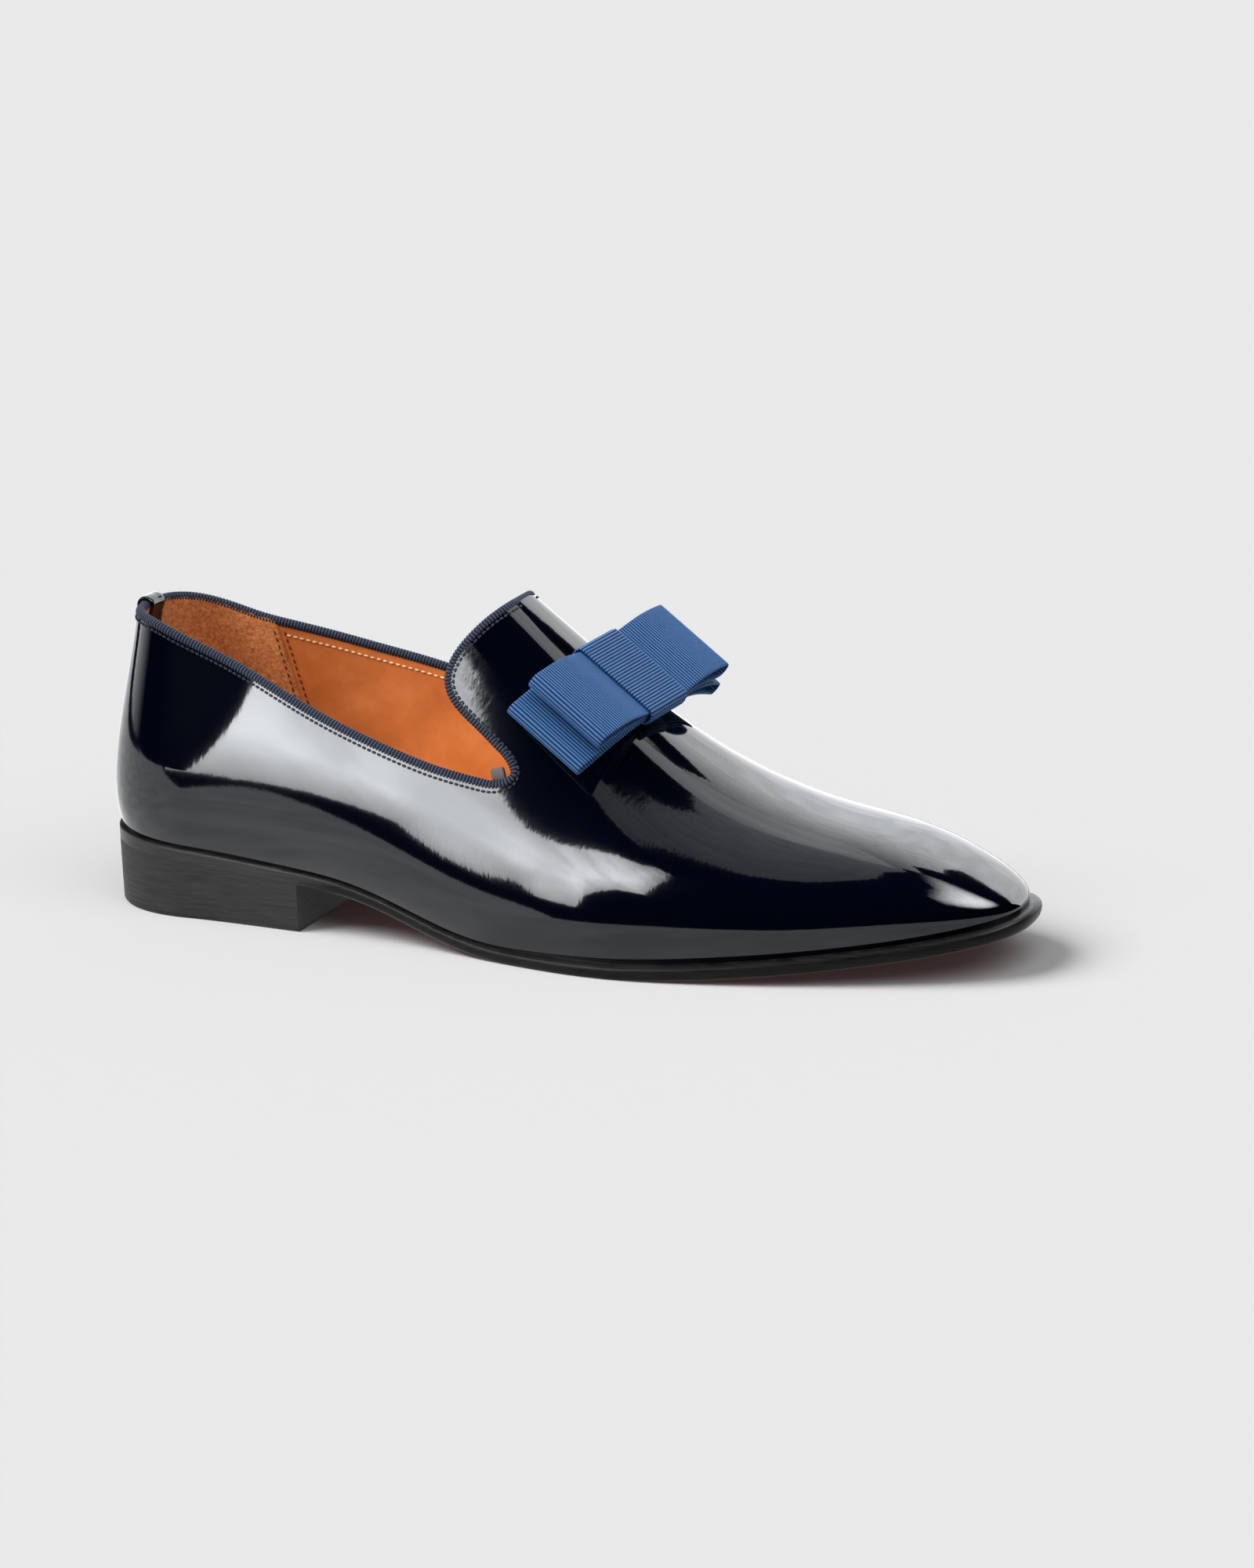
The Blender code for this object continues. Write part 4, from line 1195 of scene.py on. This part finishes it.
def stacked(us, levels):
    """Rings from the top down and the quads between them."""
    rings = [sole_ring(us, out, height) for out, height in levels]
    faces = grid_faces(len(rings), len(rings[0]), closed=True)
    return np.vstack(rings), faces, len(rings[0])


def welt_inset(inset):
    """Function of x: how far out the sole's outline runs when it is moved in."""
    return lambda x: welt(x) - inset


def edge_relief(x):
    """How much of the sole edge's rounding shows: none at the heel, all in front of the waist."""
    start, length = SOLE_EDGE_START
    s = np.clip((x - start) / length, 0, 1)
    return s * s * (3 - 2 * s)


def make_outsole(edge, tread):
    """Sole with a rounded edge, and the leather skin under it."""
    top = lambda x: feather_height(x) - SOLE_TOP_DROP
    levels = []
    for share, inset in SOLE_EDGE:
        plain = SOLE_EDGE_PLAIN if share > SOLE_GROOVE_PAINTED_SHADOW else inset
        out = lambda x, inset=inset, plain=plain: welt(x) - plain - (inset - plain) * edge_relief(x)
        height = lambda x, share=share: top(x) + share * (sole_bottom(x) - top(x))
        levels.append((out, height))
    points, faces, count = stacked(SOLE_STATIONS, levels)
    faces = np.vstack([faces, fan_cap(0, count)[:, ::-1]])
    tone_and_painted_shading_values = edge_relief(points[:, 0])
    # painted shadow: the rows under the upper are black all round, as the groove's shade
    tone_and_painted_shading_values[:count * sum(share < SOLE_GROOVE_PAINTED_SHADOW for share, _ in SOLE_EDGE)] = 1.0
    make_piece("outsole_edge", points, faces, edge, ["outsole"], tone_and_painted_shading_values, SOLE_CORNER)
    rim = SOLE_EDGE[-1][1]
    under = [(welt_inset(rim), sole_bottom), (welt_inset(rim + TREAD_RIM), lambda x: sole_bottom(x) + SKIN)]
    points, faces, count = stacked(SOLE_STATIONS, under)
    faces = np.vstack([faces, fan_cap(count, count)])
    make_piece("outsole_tread", points, faces, tread)


def make_heel(material, rubber):
    """Heel block with a flat front, and the rubber under it."""
    us = np.append(SOLE_STATIONS[SOLE_STATIONS < HEEL_BREAST - 1], HEEL_BREAST)
    levels = []
    for share, inset in HEEL_EDGE:
        height = lambda x, share=share: (sole_bottom(x) - SKIN) * (1 - share)
        levels.append((welt_inset(inset), height))
    points, faces, count = stacked(us, levels)
    n = count // 2
    rows = np.arange(len(levels) - 1) * count
    breast = np.stack([rows + n - 1, rows + n, rows + count + n, rows + count + n - 1], 1)
    keep = ~np.isin(faces, breast).all(1)
    faces = np.vstack([faces[keep], breast, fan_cap(0, count)[:, ::-1]])
    make_piece("heel_block", points, faces, material, ["heel"], corner=HEEL_CORNER)
    outer, inner = TOP_LIFT
    low = [(welt_inset(outer), lambda x: 0 * x), (welt_inset(inner), lambda x: 0 * x + SKIN)]
    points, faces, count = stacked(us, low)
    faces = np.vstack([faces, fan_cap(count, count)])
    make_piece("heel_top_lift", points, faces, rubber)


def make_insole(material):
    """Sock over the insole board, rising softly against the lining."""
    us = stations(SOCK_STEP)
    us = us[us < FEATHER_LENGTH - SOCK_SHORT]
    levels = []
    for inset, drop in SOCK_EDGE:
        out = lambda x, inset=inset: 0 * x - inset
        height = lambda x, drop=drop: feather_height(x) + GAP + INSOLE_THICK - drop
        levels.append((out, height))
    points, faces, count = stacked(us, levels)
    faces = np.vstack([faces, fan_cap((len(levels) - 1) * count, count)[:, ::-1]])
    make_piece("insole_sock", points, faces, material, ["insole"])


# Light, floor and camera

def studio_plane(name, corners, faces, material):
    """Piece of the studio from corners in the working frame."""
    item = add_object(name, new_mesh(name, corners, faces, material))
    return item


def make_floor():
    """Plain pale floor; in reflections the floor_near panel stands in for it."""
    material = new_material("floor", FLOOR_TONE, 0.7, 0.0)[0]
    far = FLOOR_REACH
    corners = [(-far, -far, 0), (far, -far, 0), (far, far, 0), (-far, far, 0)]
    studio_plane("floor", corners, [(0, 1, 2, 3)], material).visible_glossy = False


def facing(place, target):
    """Matrix for a light or camera at place that looks at target."""
    turn = (Vector(target) - Vector(place)).to_track_quat("-Z", "Y")
    return Matrix.Translation(Vector(place)) @ turn.to_matrix().to_4x4()


def add_light(name, kind, energy, place, target):
    """Light that shows in no reflection."""
    light = bpy.data.lights.new(name, kind)
    light.energy = energy
    item = add_object(name, light)
    item.matrix_world = facing(place, target)
    item.visible_glossy = False
    return item


def make_lamp():
    """Narrow soft lamp that lights only some pieces inside the opening."""
    item = add_light("lamp", "SPOT", LAMP["watts"], to_row(LAMP["place"]), to_row(LAMP["aim"]))
    item.data.spot_size = math.radians(LAMP["cone"])
    item.data.spot_blend = LAMP["blend"]
    item.data.shadow_soft_size = LAMP["radius"] * MM
    lit = bpy.data.collections.new("lit_by_lamp")
    for name in LAMP_ON:
        lit.objects.link(bpy.data.objects[name])
    item.light_linking.receiver_collection = lit


def glow_material():
    """Light panel whose brightness is the glow attribute of its corners, a little cloudy."""
    material = bpy.data.materials.new("glow")
    material.use_nodes = True
    tree = material.node_tree
    tree.nodes.clear()
    clouds = spread(tree, noise(tree, object_coordinates(tree), 45.0, 3.0), 0.55, 1.35)
    cloudy = add_node(tree, "ShaderNodeMath", links={0: attribute(tree, "glow"), 1: clouds})
    cloudy.operation = "MULTIPLY"
    strength = {"Strength": cloudy.outputs["Value"]}
    light = add_node(tree, "ShaderNodeEmission", {"Color": GLOW_COLOUR}, strength)
    add_node(tree, "ShaderNodeOutputMaterial", links={"Surface": light.outputs["Emission"]})
    return material


def mirror_panel(name, rows, material):
    """Panel from rows of corners, each x, y, z and strength, that shows only as a reflection."""
    corners = np.array(rows, float).reshape(-1, 4)
    item = studio_plane(name, corners[:, :3], grid_faces(len(rows), len(rows[0])), material)
    point_values(item.data, "glow", corners[:, 3])
    item.visible_camera = item.visible_diffuse = item.visible_shadow = False


def toe_oval():
    """Rows of the toe panel, brightest in the middle and fading out to its rim."""
    size = TOE_PANEL
    x, y, z = size["place"]
    along, up = size["corners"]
    rows = []
    for v in np.linspace(-1, 1, up):
        row = []
        for h in np.linspace(-1, 1, along):
            azimuth = math.radians(size["middle"][0] + h * size["half"][0])
            elevation = math.radians(size["middle"][1] + v * size["half"][1])
            level = size["distance"] * math.cos(elevation)
            rise = size["distance"] * math.sin(elevation)
            glow = size["strength"] * max(0.0, 1 - h * h - v * v)
            row.append((x + level * math.sin(azimuth), y - level * math.cos(azimuth), z + rise, glow))
        rows.append(row)
    return rows


def make_mirror_panels():
    """Bright and dark shapes of a studio."""
    material = glow_material()
    floor = [[(x, y, 0, glow), (x, MIRROR_FLOOR_BACK, 0, glow)] for x, y, glow in MIRROR_FLOOR]
    mirror_panel("floor_near", floor, material)
    (xa, ya), (xb, yb) = FRONT_FOOT
    front = []
    for *lines, share in FRONT_PANEL:
        ys = [ya + (x - xa) / (xb - xa) * (yb - ya) for x, _ in lines]
        front.append([(x, y, z, share * glow) for (x, z), y, glow in zip(lines, ys, FRONT_GLOW)])
    mirror_panel("front_panel", front, material)
    y, card = DARK_CARD
    half = len(card) // 2
    dark = [[(x, y, z, 0) for x, z in pair] for pair in zip(card[:half], card[:half - 1:-1])]
    mirror_panel("dark_card", dark, material)
    back = [[(x, y, z, glow) for x in (BACK_PANEL_FROM, end)] for y, z, glow, end in BACK_PANEL]
    mirror_panel("back_panel", back, material)
    mirror_panel("toe_panel", toe_oval(), material)
    for name, (a, b, c, d) in (("tongue_panel", TONGUE_PANEL), ("heel_panel", HEEL_PANEL)):
        mirror_panel(name, [[a, b], [d, c]], material)


def make_light():
    """Weak daylight from all round, two soft suns, the lamp and the panels."""
    world = bpy.data.worlds.new("studio")
    world.use_nodes = True
    sky = world.node_tree.nodes["Background"]
    sky.inputs["Color"].default_value = WORLD_COLOUR
    sky.inputs["Strength"].default_value = WORLD_STRENGTH
    world.cycles_visibility.glossy = False
    bpy.context.scene.world = world
    for name, (place, strength, angle) in SUNS.items():
        sun = add_light(name, "SUN", strength, place, (0.0, 0.0, 0.0))
        sun.data.angle = math.radians(angle)
    make_lamp()
    make_mirror_panels()


def make_camera():
    """The photo's view: turned, raised and rolled round a point in the shoe."""
    azimuth, elevation, roll = [math.radians(CAMERA[k]) for k in ("azimuth", "elevation", "roll")]
    c, s = math.cos(elevation), math.sin(elevation)
    back = Vector((math.sin(azimuth) * c, -math.cos(azimuth) * c, s))
    right = Vector((math.cos(azimuth), math.sin(azimuth), 0.0))
    up = back.cross(right)
    right, up = right * math.cos(roll) + up * math.sin(roll), up * math.cos(roll) - right * math.sin(roll)
    place = Vector(to_row(CAMERA["aim"])) + back * CAMERA["distance"] * MM
    data = bpy.data.cameras.new("camera")
    data.sensor_fit = "HORIZONTAL"
    data.sensor_width = SENSOR_WIDTH
    data.lens = FOCAL_PIXELS / IMAGE_WIDTH * SENSOR_WIDTH
    item = add_object("camera", data)
    item.matrix_world = Matrix.Translation(place) @ Matrix((right, up, back)).transposed().to_4x4()
    bpy.context.scene.camera = item


def build():
    patent = patent_material()
    lining = lining_material()
    make_upper(patent)
    make_feather_roll(patent)
    make_lining(lining)
    make_heel_lining(suede_material(), thread_material("dark_thread_look", *DARK_THREAD))
    make_lining_stitches(thread_material("cream_thread_look", *CREAM_THREAD))
    make_binding(grosgrain_material("grosgrain_dark_painted_shading_look", *DARK_RIBBON_PAINTED_SHADING))
    make_binding_stitches(thread_material("navy_thread_look", *NAVY_THREAD))
    make_throat_tab(thread_material("tab_look", *TAB_THREAD))
    make_back_stay(patent)
    make_bow(grosgrain_material("grosgrain_blue_painted_shading_look", *BLUE_RIBBON_PAINTED_SHADING))
    make_outsole(edge_material(), tread_material())
    make_heel(heel_material(), rubber_material())
    make_insole(lining)
    make_floor()
    make_light()
    make_camera()
    bpy.context.scene.view_settings.view_transform = "Standard"


build()
